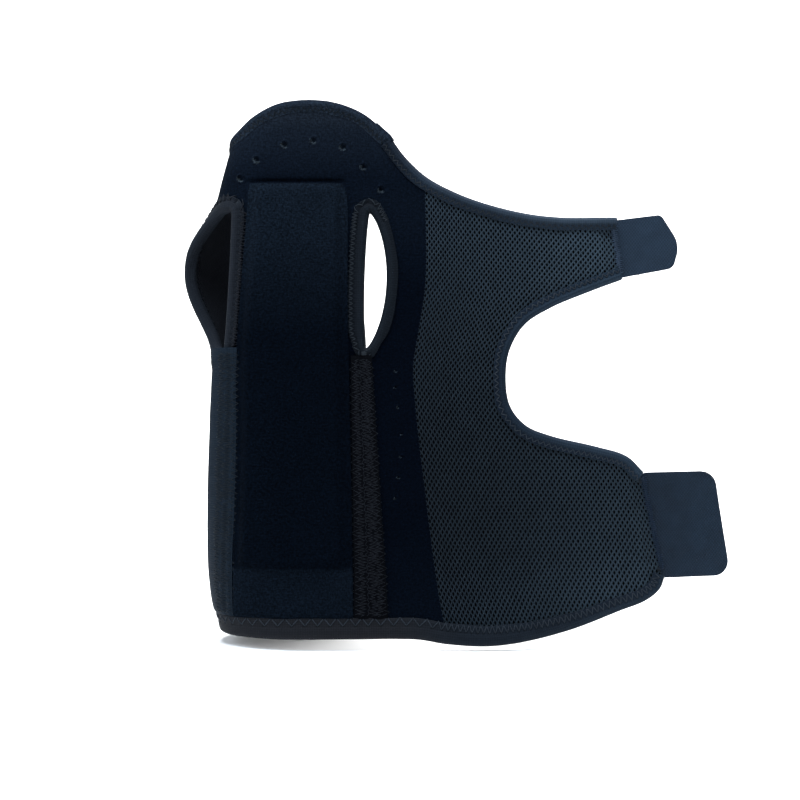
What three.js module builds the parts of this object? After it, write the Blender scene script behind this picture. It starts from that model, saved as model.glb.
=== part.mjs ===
// Wrist brace: a neoprene sheet wrapped round the thumb side, with a mesh wing and two hook tabs.
// Every piece is cut flat, as cloth is: u runs across the cloth, v along the arm and n out of the cloth.
// On the palm and the wing u equals X, and v equals Z everywhere. The palm faces -Y. Sizes are in millimetres.
import * as THREE from "three";
import { ConvexHull } from "three/addons/math/ConvexHull.js";

// Cloth and clearances
const SHEET = 3;
const TAPE = 0.7;
const GAP = 0.4;
const FACE = SHEET / 2;
const ON_FACE = FACE + GAP;
const OVER_TAPE = ON_FACE + TAPE;

// Bindings: how far the fold stands off the cloth's edge, how much of it is flat, and how far each lip laps on
const FOLD = 1;
const FOLD_FLAT = 0.6 * FACE;
const LIP = { flap: 5, back: 5, hem: 9, hemEnd: 5.5, wing: 5, notch: 5, thumb: 6 };
const TAPE_JOIN = 1.8;

// The wrap: where the cloth's middle layer runs at each height, and how the back bends in towards the arm
const SECTIONS = [
  { z: -120, left: -43.5, front: -29.5, back: 36 },
  { z: -94, left: -51.2, front: -29.2, back: 34.5 },
  { z: -58, left: -54.2, front: -28.6, back: 31.5 },
  { z: -10, left: -53, front: -27.6, back: 27 },
  { z: 25, left: -51.4, front: -26.8, back: 25 },
  { z: 60, left: -51.2, front: -26.2, back: 23 },
  { z: 90, left: -49.8, front: -25.8, back: 19 },
  { z: 118, left: -42.4, front: -25.8, back: 13 },
  { z: 142, left: -34.5, front: -26, back: 8 },
];
const TURN_ROUNDNESS = 1.2;
const BACK_HUG = 0.004;
const NEARBY = 0.05;

// The wing leans back from the palm until it lies in one sloping plane
const WING = { leaves: 35, flatFrom: 118, flatDepth: -21, slope: 0.2 };

// The thumb side's opening stands out from the arm at its rear rim
const FLARE = { out: 13.5, height: 61, halfHeight: 38, start: -48, rim: -67, fade: 48 };

// Edges of the flat pattern: the few places, as [u, v], that each curve passes through
const LAP_FOOT = [58.6, -111.6];
const LAP_TOP = [48.4, 102.8];
const FLAP_EDGE = [
  [-142, 96], [-118, 99], [-95, 106], [-72, 114.5], [-55, 121], [-40, 125.5], [-30, 131.5],
  [-18, 136.8], [-4.5, 138.2], [8, 136.6], [20, 131.6], [31.5, 122],
];
const WING_TOP_EDGE = [
  [31.5, 122], [38.2, 112.6], LAP_TOP, [60, 96.2], [74, 90.6], [93, 86], [112, 84.3], [136, 84.8],
];
const NOTCH_EDGE = [
  [141, 57.4], [124, 51], [106.4, 43.6], [94, 35.6], [87, 24], [85, 11.5],
  [87, -3], [94.6, -12.4], [107, -17.6], [128, -22.6], [143, -27.2], [151, -34.4],
];
const HEM_EDGE = [
  [-149, -110], [-90, -110], [-36, -109.8], [14, -109.4], [46, -109.6], LAP_FOOT, [78, -112.6],
  [98, -110.4], [118, -106], [140, -98], [152, -93.6], [158.6, -88.6], [161, -83],
];
const LAP_LINE = [
  LAP_FOOT, [54.1, -87.5], [48.1, -41.5], [43.5, 0], [42.8, 16], [45.4, 33], [48.4, 54], LAP_TOP,
];
const BACK_EDGE = [FLAP_EDGE[0], [-148, 40], [-155, -25], [-158, -60], HEM_EDGE[0]];
const EDGE_STEP = 6.5;

// Thumb openings: the folded edge runs between two tips and swells to each side
const WORN_OPENING = {
  top: [-41.5, 88],
  foot: [-46.4, 24.5],
  towardsPocket: 1,
  awayFromPocket: 22.5,
  fullness: 0.75,
};
const SPARE_OPENING = {
  top: [23, 86.5],
  foot: [21.2, 24],
  towardsPocket: 1.4,
  awayFromPocket: 8.4,
  fullness: 1,
};
const OPENING_STEPS = 36;

// Vent holes: two arcs of small round holes
const VENT = { radius: 1.05, sides: 8 };
const VENTS = [
  { u: -36, v: 103 }, { u: -28.4, v: 111.4 }, { u: -16.3, v: 118.3 }, { u: -2.9, v: 120.2 },
  { u: 10.6, v: 117.2 }, { u: 20.3, v: 108.1 }, { u: 28.2, v: 97.5 },
  { u: 35, v: 13.4 }, { u: 34.9, v: 5.8 }, { u: 36.1, v: -3.2 }, { u: 37.8, v: -15.6 },
  { u: 37.5, v: -26 }, { u: 36.3, v: -35.6 }, { u: 34.7, v: -45.2 },
];

// Splint pocket: its sides and how far the stay swells it at each height
const POCKET = { cloth: 1, swell: 3 };
const POCKET_ROWS = [
  { v: 100, left: -31, right: 10.4, fill: 0 },
  { v: 99, left: -31.6, right: 11.2, fill: 0.55 },
  { v: 96.5, left: -31.8, right: 12, fill: 0.9 },
  { v: 92, left: -32, right: 12.6, fill: 1 },
  { v: 70, left: -33.6, right: 12.8, fill: 1 },
  { v: 45, left: -35.6, right: 12.9, fill: 1 },
  { v: 20, left: -37.3, right: 13.3, fill: 1 },
  { v: -20, left: -37.2, right: 14.2, fill: 1 },
  { v: -68, left: -38.4, right: 15.1, fill: 1 },
  { v: -73, left: -38.7, right: 15.2, fill: 0.9 },
  { v: -76, left: -38.8, right: 15.3, fill: 0.4 },
  { v: -77.5, left: -38.9, right: 15.3, fill: 0 },
  { v: -99.4, left: -39.5, right: 15.4, fill: 0 },
];
const POCKET_COLUMNS = [
  { across: 0, fill: 0 }, { across: 0.06, fill: 0 }, { across: 0.09, fill: 0.6 }, { across: 0.13, fill: 0.93 },
  { across: 0.2, fill: 1 }, { across: 0.8, fill: 1 }, { across: 0.88, fill: 0.93 }, { across: 0.92, fill: 0.6 },
  { across: 0.95, fill: 0 }, { across: 1, fill: 0 },
];
const POCKET_SPREAD = { down: 18, across: 0.12 };

// Seam tapes: their two edges from just below each opening to the hem
const TAPE_FOOT = -99.4;
const LEFT_TAPE = {
  guide: [[-40.2, TAPE_FOOT], [-39.4, -74], [-38, -46], [-38, 16]],
  side: -1,
  width: 16.5,
  topWidth: 13,
};
const RIGHT_TAPE = {
  guide: [[16, TAPE_FOOT], [15.8, -74], [14.9, -23], [14.4, 19]],
  side: 1,
  width: 15.6,
  topWidth: 10,
};

// Hook tabs: corners with their radii, the root tucked behind the strap's end
const TAB_THICKNESS = 1.4;
const UPPER_TAB = [
  { u: 129, v: 58.5, radius: 0 }, { u: 141.5, v: 57.6, radius: 0 }, { u: 167.4, v: 62.6, radius: 4.5 },
  { u: 170.6, v: 74, radius: 12 }, { u: 161.4, v: 88, radius: 3 }, { u: 139, v: 84.8, radius: 0 },
  { u: 127, v: 79.5, radius: 0 },
];
const LOWER_TAB = [
  { u: 149, v: -84, radius: 0 }, { u: 165, v: -84.5, radius: 0 }, { u: 196.4, v: -84.2, radius: 7 },
  { u: 188.8, v: -34, radius: 8 }, { u: 155, v: -34.4, radius: 0 }, { u: 142, v: -38, radius: 0 },
];
const CORNER_STEPS = 5;

// How far apart the cloth's points lie: closely round the flared opening, widely on the palm and the wing
const SPREAD = [
  { fromU: -104, toU: -36, fromV: 16, toV: 98, step: 4.6 },
  { fromU: -112, toU: -6, fromV: 98, toV: 142, step: 5.4 },
  { fromU: -200, toU: -6, fromV: -200, toV: 200, step: 6.6 },
  { fromU: -6, toU: 200, fromV: -200, toV: 200, step: 15 },
];
const ROW_SHARE = 1.1;
const RIM_SHARE = 0.62;

// Surface colours
const VELOUR = { color: 0x1b1f2b, roughness: 0.95, metalness: 0 };
const BINDING = { color: 0x1d212d, roughness: 0.85, metalness: 0 };
const MESH = { color: 0x6b716c, roughness: 0.8, metalness: 0 };
const HOOK = { color: 0x2a303d, roughness: 0.6, metalness: 0 };

const smoothstep = THREE.MathUtils.smoothstep;
const sectionCurve = new THREE.CubicInterpolant(
  SECTIONS.map((row) => row.z),
  SECTIONS.flatMap((row) => [row.left, row.front, row.back]),
  3,
);

// The wing's and palm's depth at a place on the flat pattern
function frontDepth(u, front) {
  const plane = WING.flatDepth + WING.slope * (u - WING.flatFrom);
  const share = smoothstep(u, WING.leaves, WING.flatFrom);
  return front + (plane - front) * share;
}

// How far the worn opening's rear rim stands out at a place on the flat pattern
function flareAt(u, v) {
  const level = (v - FLARE.height) / FLARE.halfHeight;
  const upright = Math.max(1 - level * level, 0) ** 2;
  const rise = smoothstep(-u, -FLARE.start, -FLARE.rim);
  const fall = 1 - smoothstep(-u, -FLARE.rim, FLARE.fade - FLARE.rim);
  return FLARE.out * upright * rise * fall;
}

// The cloth's middle layer: palm and wing first, then the turn round the thumb side, then the back
function middlePoint(u, v) {
  const [left, front, back] = sectionCurve.evaluate(v);
  const depth = (back - front) / 2;
  const reach = TURN_ROUNDNESS * depth;
  const turnStart = left + reach;
  if (u >= turnStart) {
    return new THREE.Vector3(u, frontDepth(u, front), v);
  }
  const turnLength = Math.PI * Math.hypot(reach, depth) * Math.SQRT1_2;
  const angle = Math.PI * Math.min((turnStart - u) / turnLength, 1);
  const past = Math.max(turnStart - u - turnLength, 0);
  const x = turnStart - reach * Math.sin(angle) + past - flareAt(u, v);
  const y = front + depth * (1 - Math.cos(angle)) - BACK_HUG * past * past;
  return new THREE.Vector3(x, y, v);
}

// A place on the flat pattern, n millimetres out of the cloth, as a point in space
function wrap(u, v, n) {
  const across = middlePoint(u + NEARBY, v).sub(middlePoint(u - NEARBY, v));
  const along = middlePoint(u, v + NEARBY).sub(middlePoint(u, v - NEARBY));
  const outward = across.cross(along).normalize();
  return middlePoint(u, v).addScaledVector(outward, n);
}

// A smooth curve through a few points of the flat pattern, sampled at each of them and evenly between
function edge(points) {
  const stops = points.map(([u, v]) => new THREE.Vector3(u, v, 0));
  const curve = new THREE.CatmullRomCurve3(stops);
  const spans = stops.length - 1;
  const path = [];
  for (let i = 0; i < spans; i += 1) {
    const parts = Math.ceil(stops[i].distanceTo(stops[i + 1]) / EDGE_STEP);
    for (let k = 0; k < parts; k += 1) {
      path.push(curve.getPoint((i + k / parts) / spans));
    }
  }
  path.push(stops[spans]);
  return path.map((point) => new THREE.Vector2(point.x, point.y));
}

// Which sample of a path lies on one of the points that its curve passes through
function sampleAt(path, [u, v]) {
  return path.findIndex((point) => Math.hypot(point.x - u, point.y - v) < 1e-6);
}

const flapEdge = edge(FLAP_EDGE);
const wingTopEdge = edge(WING_TOP_EDGE);
const notchEdge = edge(NOTCH_EDGE);
const hemEdge = edge(HEM_EDGE);
const lapLine = edge(LAP_LINE);
const backEdge = edge(BACK_EDGE);

// Directions that point to the left of a path's travel, at each of its points
function leftwards(path, closed) {
  return path.map((point, i) => {
    const before = path[closed ? (i + path.length - 1) % path.length : Math.max(i - 1, 0)];
    const after = path[closed ? (i + 1) % path.length : Math.min(i + 1, path.length - 1)];
    const travel = after.clone().sub(before).normalize();
    return new THREE.Vector2(-travel.y, travel.x);
  });
}

// The cloth's own edge round an opening, which its binding folds over
function clothEdge(fold) {
  const sideways = leftwards(fold, true);
  return fold.map((point, i) => point.clone().addScaledVector(sideways[i], FOLD));
}

// The folded edge of a thumb opening, run so that the cloth lies on its left
function openingFold({ top, foot, towardsPocket, awayFromPocket, fullness }) {
  const side = top[0] < 0 ? -1 : 1;
  const fold = [];
  for (let i = 0; i < OPENING_STEPS; i += 1) {
    const turn = (2 * Math.PI * i) / OPENING_STEPS;
    const down = (1 - Math.cos(turn)) / 2;
    const swell = Math.abs(Math.sin(turn)) ** fullness;
    const sideways = Math.sin(turn) > 0 ? awayFromPocket * swell : -towardsPocket * swell;
    const u = THREE.MathUtils.lerp(top[0], foot[0], down) + side * sideways;
    fold.push(new THREE.Vector2(u, THREE.MathUtils.lerp(top[1], foot[1], down)));
  }
  return THREE.ShapeUtils.isClockWise(fold) ? fold : fold.reverse();
}

const wornFold = openingFold(WORN_OPENING);
const spareFold = openingFold(SPARE_OPENING);

// A closed mesh from points in space and the triangles between them
function solidGeometry(points, faces) {
  const geometry = new THREE.BufferGeometry().setFromPoints(points);
  geometry.setIndex(faces.flat());
  geometry.computeVertexNormals();
  return geometry;
}

// Whether a place on the flat pattern is inside the outline and outside its holes
function onCloth(u, v, loops) {
  let inside = false;
  for (const loop of loops) {
    for (let i = 0; i < loop.length; i += 1) {
      const a = loop[i];
      const b = loop[(i + 1) % loop.length];
      const spans = a.y > v !== b.y > v;
      if (spans && u < a.x + ((b.x - a.x) * (v - a.y)) / (b.y - a.y)) {
        inside = !inside;
      }
    }
  }
  return inside;
}

// Staggered places inside the loops, each zone leaving out what an earlier zone holds
function spreadPlaces(loops) {
  const rim = loops.flat();
  const box = new THREE.Box2().setFromPoints(loops[0]);
  const zones = SPREAD.map((zone) => new THREE.Box2(
    new THREE.Vector2(zone.fromU, zone.fromV),
    new THREE.Vector2(zone.toU, zone.toV),
  ));
  const places = [];
  SPREAD.forEach(({ step }, k) => {
    const area = zones[k].clone().intersect(box);
    let row = 0;
    for (let v = area.min.y + step / 2; v < area.max.y; v += step * ROW_SHARE) {
      row += 1;
      for (let u = area.min.x + (row % 2 ? step / 2 : step); u < area.max.x; u += step) {
        const place = new THREE.Vector2(u, v);
        const taken = zones.slice(0, k).some((zone) => zone.containsPoint(place));
        const clear = rim.every((point) => point.distanceTo(place) > step * RIM_SHARE);
        if (clear && !taken && onCloth(u, v, loops)) {
          places.push(place);
        }
      }
    }
  });
  return places;
}

// Triangles between places on the flat pattern: the underside of their hull on a paraboloid
function triangulate(places, loops) {
  const lifted = places.map((place) => new THREE.Vector3(place.x, place.y, place.lengthSq()));
  const numbers = new Map(lifted.map((point, i) => [point, i]));
  const hull = new ConvexHull().setFromPoints(lifted);
  const triangles = [];
  for (const face of hull.faces) {
    const corners = [face.edge.prev, face.edge, face.edge.next].map((side) => numbers.get(side.vertex.point));
    const [a, b, c] = corners.map((i) => places[i]);
    const middle = a.clone().add(b).add(c).divideScalar(3);
    if (face.normal.z < 0 && onCloth(middle.x, middle.y, loops)) {
      triangles.push(corners.reverse());
    }
  }
  return triangles;
}

// A flat piece of cloth in its worn form: an outline with holes, from one level out of the cloth to another
function cloth(outline, holes, lower, upper) {
  const loops = [outline, ...holes];
  const places = [...loops.flat(), ...spreadPlaces(loops)];
  const triangles = triangulate(places, loops);
  const count = places.length;
  const points = [lower, upper].flatMap((n) => places.map((place) => wrap(place.x, place.y, n)));
  const faces = triangles.flatMap(([a, b, c]) => [[a, c, b], [a + count, b + count, c + count]]);
  let first = 0;
  for (const loop of loops) {
    const inwards = THREE.ShapeUtils.isClockWise(loop) === (loop === outline);
    for (let i = 0; i < loop.length; i += 1) {
      const here = first + i;
      const next = first + ((i + 1) % loop.length);
      const [a, b] = inwards ? [next, here] : [here, next];
      faces.push([a, b, b + count], [a, b + count, a + count]);
    }
    first += loop.length;
  }
  return solidGeometry(points, faces);
}

// Rings of points, each the outline of one section, joined into a tube that closes on itself or has two caps
function sweep(rings, section, closed) {
  const size = section.length;
  const faces = [];
  const spans = closed ? rings.length : rings.length - 1;
  for (let i = 0; i < spans; i += 1) {
    const here = i * size;
    const next = ((i + 1) % rings.length) * size;
    for (let k = 0; k < size; k += 1) {
      const l = (k + 1) % size;
      faces.push([here + k, here + l, next + l], [here + k, next + l, next + k]);
    }
  }
  if (!closed) {
    const last = (rings.length - 1) * size;
    const corners = section.map(([inwards, n]) => new THREE.Vector2(inwards, n));
    for (const [a, b, c] of THREE.ShapeUtils.triangulateShape(corners, [])) {
      faces.push([a, c, b], [last + a, last + b, last + c]);
    }
  }
  return solidGeometry(rings.flat(), faces);
}

// The section of a folded tape: inwards distance from the cloth's edge, and level out of the cloth
function foldedSection(lip, lipParts) {
  const stops = Array.from({ length: lipParts }, (unused, i) => (lip * (i + 1)) / lipParts);
  const towardsEdge = stops.slice().reverse();
  const outerFold = [[-GAP, OVER_TAPE], [-FOLD, FOLD_FLAT], [-FOLD, -FOLD_FLAT], [-GAP, -OVER_TAPE]];
  return [
    ...towardsEdge.map((inwards) => [inwards, OVER_TAPE]),
    ...outerFold,
    ...stops.map((inwards) => [inwards, -OVER_TAPE]),
    ...towardsEdge.map((inwards) => [inwards, -ON_FACE]),
    [-GAP, -ON_FACE],
    [-GAP, ON_FACE],
    ...stops.map((inwards) => [inwards, ON_FACE]),
  ];
}

// A folded tape over an edge that has the cloth on its left, with lips that may narrow along it
function binding(path, lipAt, closed = false) {
  const lipParts = closed ? 2 : 1;
  const sideways = leftwards(path, closed);
  const rings = path.map((point, i) =>
    foldedSection(lipAt(point), lipParts).map(([inwards, n]) => {
      const place = point.clone().addScaledVector(sideways[i], inwards);
      return wrap(place.x, place.y, n);
    }),
  );
  return sweep(rings, foldedSection(lipAt(path[0]), lipParts), closed);
}

// A seam tape from a guide edge across to its other edge, with a hollow top that clears a binding's round end
function seamTape({ guide, side, width, topWidth }, tip) {
  const line = edge(guide);
  const top = line.length - 1;
  const otherEdge = line.map((point, i) => {
    const span = THREE.MathUtils.lerp(width, topWidth, i / top);
    return new THREE.Vector2(point.x + side * span, point.y);
  });
  const clear = LIP.thumb + FOLD + GAP;
  const hollowTop = [0, 0.25, 0.5, 0.75, 1].map((share) => {
    const place = line[top].clone().lerp(otherEdge[top], share);
    const drop = Math.sqrt(Math.max(clear * clear - (place.x - tip[0]) ** 2, 0));
    return new THREE.Vector2(place.x, Math.min(place.y, tip[1] - drop));
  });
  const foot = [0.25, 0.5, 0.75].map((share) => otherEdge[0].clone().lerp(line[0], share));
  const outline = [...line.slice(0, top), ...hollowTop, ...otherEdge.slice(0, top).reverse(), ...foot];
  return cloth(outline, [], ON_FACE, OVER_TAPE);
}

// Body panel: the sheet from the back's free edge, round the thumb side and over the palm to the lap line
function bodyPanel() {
  const hem = hemEdge.slice(0, sampleAt(hemEdge, LAP_FOOT));
  const lap = lapLine.map((point) => new THREE.Vector2(point.x - GAP / 2, point.y));
  const shoulder = wingTopEdge.slice(1, sampleAt(wingTopEdge, LAP_TOP)).reverse();
  const outline = [...hem, ...lap, ...shoulder, ...flapEdge.slice().reverse(), ...backEdge.slice(1, -1)];
  const holes = [clothEdge(wornFold), clothEdge(spareFold)];
  for (const { u, v } of VENTS) {
    const hole = [];
    for (let i = 0; i < VENT.sides; i += 1) {
      const turn = (2 * Math.PI * i) / VENT.sides;
      hole.push(new THREE.Vector2(u + VENT.radius * Math.cos(turn), v + VENT.radius * Math.sin(turn)));
    }
    holes.push(hole);
  }
  return cloth(outline, holes, -FACE, FACE);
}

// Mesh wing: from the lap line to the ends of the two straps
function meshWing() {
  const hem = hemEdge.slice(sampleAt(hemEdge, LAP_FOOT) + 1);
  const top = wingTopEdge.slice(sampleAt(wingTopEdge, LAP_TOP) + 1).reverse();
  const lap = lapLine.map((point) => new THREE.Vector2(point.x + GAP / 2, point.y)).reverse();
  return cloth([...hem, ...notchEdge.slice().reverse(), ...top, ...lap], [], -FACE, FACE);
}

// Splint pocket: a grid of rows and columns whose outer side swells over the stay
function splintPocket() {
  const rowCurve = new THREE.CubicInterpolant(
    POCKET_ROWS.map((row) => -row.v),
    POCKET_ROWS.flatMap((row) => [row.left, row.right]),
    2,
  );
  const fillLine = new THREE.LinearInterpolant(
    POCKET_ROWS.map((row) => -row.v),
    POCKET_ROWS.map((row) => row.fill),
    1,
  );
  const columnLine = new THREE.LinearInterpolant(
    POCKET_COLUMNS.map((column) => column.across),
    POCKET_COLUMNS.map((column) => column.fill),
    1,
  );
  const levels = POCKET_ROWS.map((row) => row.v);
  const heights = levels.flatMap((v, i) => {
    const span = i + 1 < levels.length ? v - levels[i + 1] : 0;
    const parts = Math.max(1, Math.round(span / POCKET_SPREAD.down));
    return Array.from({ length: span ? parts : 1 }, (unused, k) => v - (span * k) / parts);
  });
  const stops = POCKET_COLUMNS.flatMap(({ across }, i) => {
    const span = i + 1 < POCKET_COLUMNS.length ? POCKET_COLUMNS[i + 1].across - across : 0;
    const parts = Math.max(1, Math.round(span / POCKET_SPREAD.across));
    return Array.from({ length: span ? parts : 1 }, (unused, k) => across + (span * k) / parts);
  });
  const points = [];
  for (const v of heights) {
    const [left, right] = rowCurve.evaluate(-v);
    const [rowFill] = fillLine.evaluate(-v);
    for (const across of stops) {
      const [columnFill] = columnLine.evaluate(across);
      const u = THREE.MathUtils.lerp(left, right, across);
      const top = ON_FACE + POCKET.cloth + POCKET.swell * rowFill * columnFill;
      points.push(wrap(u, v, ON_FACE), wrap(u, v, top));
    }
  }
  return gridSolid(points, heights.length, stops.length);
}

// A closed solid from a grid of point pairs, inner then outer, with rows running down and columns to the right
function gridSolid(points, rows, columns) {
  const inner = (r, c) => 2 * (r * columns + c);
  const outer = (r, c) => inner(r, c) + 1;
  const faces = [];
  const quad = (a, b, c, d) => faces.push([a, b, c], [a, c, d]);
  for (let r = 0; r + 1 < rows; r += 1) {
    for (let c = 0; c + 1 < columns; c += 1) {
      quad(outer(r, c), outer(r + 1, c), outer(r + 1, c + 1), outer(r, c + 1));
      quad(inner(r, c), inner(r, c + 1), inner(r + 1, c + 1), inner(r + 1, c));
    }
    quad(outer(r, 0), inner(r, 0), inner(r + 1, 0), outer(r + 1, 0));
    quad(inner(r, columns - 1), outer(r, columns - 1), outer(r + 1, columns - 1), inner(r + 1, columns - 1));
  }
  for (let c = 0; c + 1 < columns; c += 1) {
    quad(inner(0, c), outer(0, c), outer(0, c + 1), inner(0, c + 1));
    quad(outer(rows - 1, c), inner(rows - 1, c), inner(rows - 1, c + 1), outer(rows - 1, c + 1));
  }
  return solidGeometry(points, faces);
}

// An outline whose corners are rounded by arcs, as points sampled along it
function roundedOutline(corners) {
  return corners.flatMap(({ u, v, radius }, i) => {
    const corner = new THREE.Vector2(u, v);
    if (radius === 0) {
      return [corner];
    }
    const before = corners[(i + corners.length - 1) % corners.length];
    const after = corners[(i + 1) % corners.length];
    const back = new THREE.Vector2(before.u - u, before.v - v).normalize();
    const ahead = new THREE.Vector2(after.u - u, after.v - v).normalize();
    const half = Math.acos(back.dot(ahead)) / 2;
    const centre = back.clone().add(ahead).setLength(radius / Math.sin(half)).add(corner);
    const start = corner.clone().addScaledVector(back, radius / Math.tan(half)).sub(centre);
    const sweepAngle = Math.PI - 2 * half;
    return Array.from({ length: CORNER_STEPS + 1 }, (unused, k) =>
      start.clone().rotateAround(new THREE.Vector2(), (sweepAngle * k) / CORNER_STEPS).add(centre),
    );
  });
}

// Hook tab: flat tape that lies behind the strap's end, clear of the bindings there
function hookTab(corners) {
  const front = -OVER_TAPE - GAP;
  return cloth(roundedOutline(corners), [], front - TAB_THICKNESS, front);
}

// The stretch of the back's free edge that lies between the flap's and the hem's bindings
function openBackEdge() {
  const top = backEdge[0].y - LIP.flap - FOLD - GAP;
  const foot = hemEdge[0].y + LIP.hem + FOLD + GAP;
  return backEdge.filter((point) => point.y < top && point.y > foot);
}

// The wing's top edge, starting just clear of the flap's binding
function wingTopTape() {
  const [first, second] = wingTopEdge;
  const start = first.clone().lerp(second, TAPE_JOIN / first.distanceTo(second));
  return [start, ...wingTopEdge.slice(1)].reverse();
}

// The hem's lip narrows from the lap line to the lower strap's end
function hemLip(point) {
  const share = smoothstep(point.x, LAP_FOOT[0], HEM_EDGE.at(-1)[0]);
  return THREE.MathUtils.lerp(LIP.hem, LIP.hemEnd, share);
}

const brace = new THREE.Group();
function add(name, geometry, finish) {
  const mesh = new THREE.Mesh(geometry, new THREE.MeshStandardMaterial(finish));
  mesh.name = name;
  brace.add(mesh);
}

add("body_panel", bodyPanel(), VELOUR);
add("mesh_wing", meshWing(), MESH);
add("splint_pocket", splintPocket(), VELOUR);
add("left_thumb_binding", binding(clothEdge(wornFold), () => LIP.thumb, true), BINDING);
add("right_thumb_binding", binding(clothEdge(spareFold), () => LIP.thumb, true), BINDING);
add("left_seam_tape", seamTape(LEFT_TAPE, WORN_OPENING.foot), BINDING);
add("right_seam_tape", seamTape(RIGHT_TAPE, SPARE_OPENING.foot), BINDING);
add("flap_binding", binding(flapEdge.slice().reverse(), () => LIP.flap), BINDING);
add("back_binding", binding(openBackEdge(), () => LIP.back), BINDING);
add("hem_binding", binding(hemEdge, hemLip), BINDING);
add("wing_top_binding", binding(wingTopTape(), () => LIP.wing), BINDING);
add("notch_binding", binding(notchEdge.slice().reverse(), () => LIP.notch), BINDING);
add("upper_hook_tab", hookTab(UPPER_TAB), HOOK);
add("lower_hook_tab", hookTab(LOWER_TAB), HOOK);

export default brace;
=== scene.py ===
# %% [markdown]
# # A wrist brace, cut flat and wrapped into its worn form
# The real brace is sewn from flat cloth: a velour-faced neoprene sheet, a wing of spacer mesh, folded binding
# tape on every edge, and two hook tabs. This lesson makes it the same way. Each piece is first a flat pattern
# in millimetres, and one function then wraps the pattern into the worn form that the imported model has.

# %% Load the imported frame
import math

import bmesh
import bpy
import numpy as np
from mathutils import Matrix, Vector


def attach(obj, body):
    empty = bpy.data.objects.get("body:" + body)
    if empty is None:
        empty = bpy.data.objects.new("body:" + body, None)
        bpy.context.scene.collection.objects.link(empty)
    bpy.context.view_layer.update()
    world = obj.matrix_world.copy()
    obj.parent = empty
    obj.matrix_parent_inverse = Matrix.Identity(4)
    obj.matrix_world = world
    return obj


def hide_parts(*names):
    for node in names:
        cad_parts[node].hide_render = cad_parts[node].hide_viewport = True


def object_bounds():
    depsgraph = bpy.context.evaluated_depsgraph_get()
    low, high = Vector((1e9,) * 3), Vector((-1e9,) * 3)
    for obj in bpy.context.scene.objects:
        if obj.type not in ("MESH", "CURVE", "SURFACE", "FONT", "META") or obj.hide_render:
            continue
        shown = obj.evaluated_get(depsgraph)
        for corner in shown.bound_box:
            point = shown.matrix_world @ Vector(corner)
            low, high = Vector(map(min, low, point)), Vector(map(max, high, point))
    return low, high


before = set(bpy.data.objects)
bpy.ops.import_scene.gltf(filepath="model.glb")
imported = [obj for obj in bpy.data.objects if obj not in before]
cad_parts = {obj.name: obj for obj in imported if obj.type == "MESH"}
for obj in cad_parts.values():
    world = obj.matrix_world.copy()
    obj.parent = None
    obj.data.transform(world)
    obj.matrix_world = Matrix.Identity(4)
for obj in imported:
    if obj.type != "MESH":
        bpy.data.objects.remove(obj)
cad_low, cad_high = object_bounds()
MM = 0.001
print(len(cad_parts), "nodes span", [round(side / MM, 1) for side in cad_high - cad_low], "mm")

# %% [markdown]
# ## The camera
# The brace is seen square on to the palm. A camera can be placed by eye, but here its distance and lens come
# from the size of the object: at the palm's depth the picture is 370 mm wide, and the camera is 650 mm away.

# %% Camera
PICTURE_WIDTH, CAMERA_DISTANCE, PALM_DEPTH, PICTURE_CENTRE = 0.37037, 0.65, -0.027, 0.03704
SENSOR_WIDTH = 36
camera_data = bpy.data.cameras.new("studio_camera")
camera_data.sensor_width = SENSOR_WIDTH
camera_data.lens = SENSOR_WIDTH * CAMERA_DISTANCE / PICTURE_WIDTH
camera = bpy.data.objects.new("studio_camera", camera_data)
camera.location = (PICTURE_CENTRE, PALM_DEPTH - CAMERA_DISTANCE, 0)
camera.rotation_euler = (math.radians(90), 0, 0)
bpy.context.scene.collection.objects.link(camera)
bpy.context.scene.camera = camera
print("camera lens", round(camera_data.lens, 1), "mm")

# %% [markdown]
# ## Floor and light
# A pale floor that curves up into a back wall hides the corner between them. Spinning one edge a quarter turn
# makes that curve. Near-black cloth shows its form best when light comes from the sides and above, so soft
# boxes stand there, and two more only make the floor and the wall white.

# %% Floor and back wall
FLOOR_HALF, FLOOR_GAP = 4, 0.002
WALL_AT, WALL_CURVE, WALL_TOP, CURVE_STEPS = 1.6, 0.8, 3.2, 16
PAPER_TONE, PAPER_ROUGHNESS = (0.86, 0.86, 0.86, 1), 0.9
floor_level = cad_low.z - FLOOR_GAP


def new_verts(grown):
    return [part for part in grown if isinstance(part, bmesh.types.BMVert)]


def new_edge(grown):
    return next(part for part in grown if isinstance(part, bmesh.types.BMEdge))


sweep = bmesh.new()
front_corners = [sweep.verts.new((x, -FLOOR_HALF, floor_level)) for x in (-FLOOR_HALF, FLOOR_HALF)]
front_edge = sweep.edges.new(front_corners)
grown = bmesh.ops.extrude_edge_only(sweep, edges=[front_edge])["geom"]
bmesh.ops.translate(sweep, vec=(0, FLOOR_HALF + WALL_AT - WALL_CURVE, 0), verts=new_verts(grown))
floor_end = new_edge(grown)
spun = bmesh.ops.spin(
    sweep, geom=[floor_end, *floor_end.verts], cent=(0, WALL_AT - WALL_CURVE, floor_level + WALL_CURVE),
    axis=(1, 0, 0), angle=math.radians(90), steps=CURVE_STEPS,
)["geom_last"]
grown = bmesh.ops.extrude_edge_only(sweep, edges=[new_edge(spun)])["geom"]
bmesh.ops.translate(sweep, vec=(0, 0, WALL_TOP), verts=new_verts(grown))
bmesh.ops.recalc_face_normals(sweep, faces=sweep.faces)
floor_mesh = bpy.data.meshes.new("studio_floor")
sweep.to_mesh(floor_mesh)
sweep.free()
floor_mesh.shade_smooth()
floor = bpy.data.objects.new("studio_floor", floor_mesh)
bpy.context.scene.collection.objects.link(floor)
paper = bpy.data.materials.new("pale_paper")
paper.use_nodes = True
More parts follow.
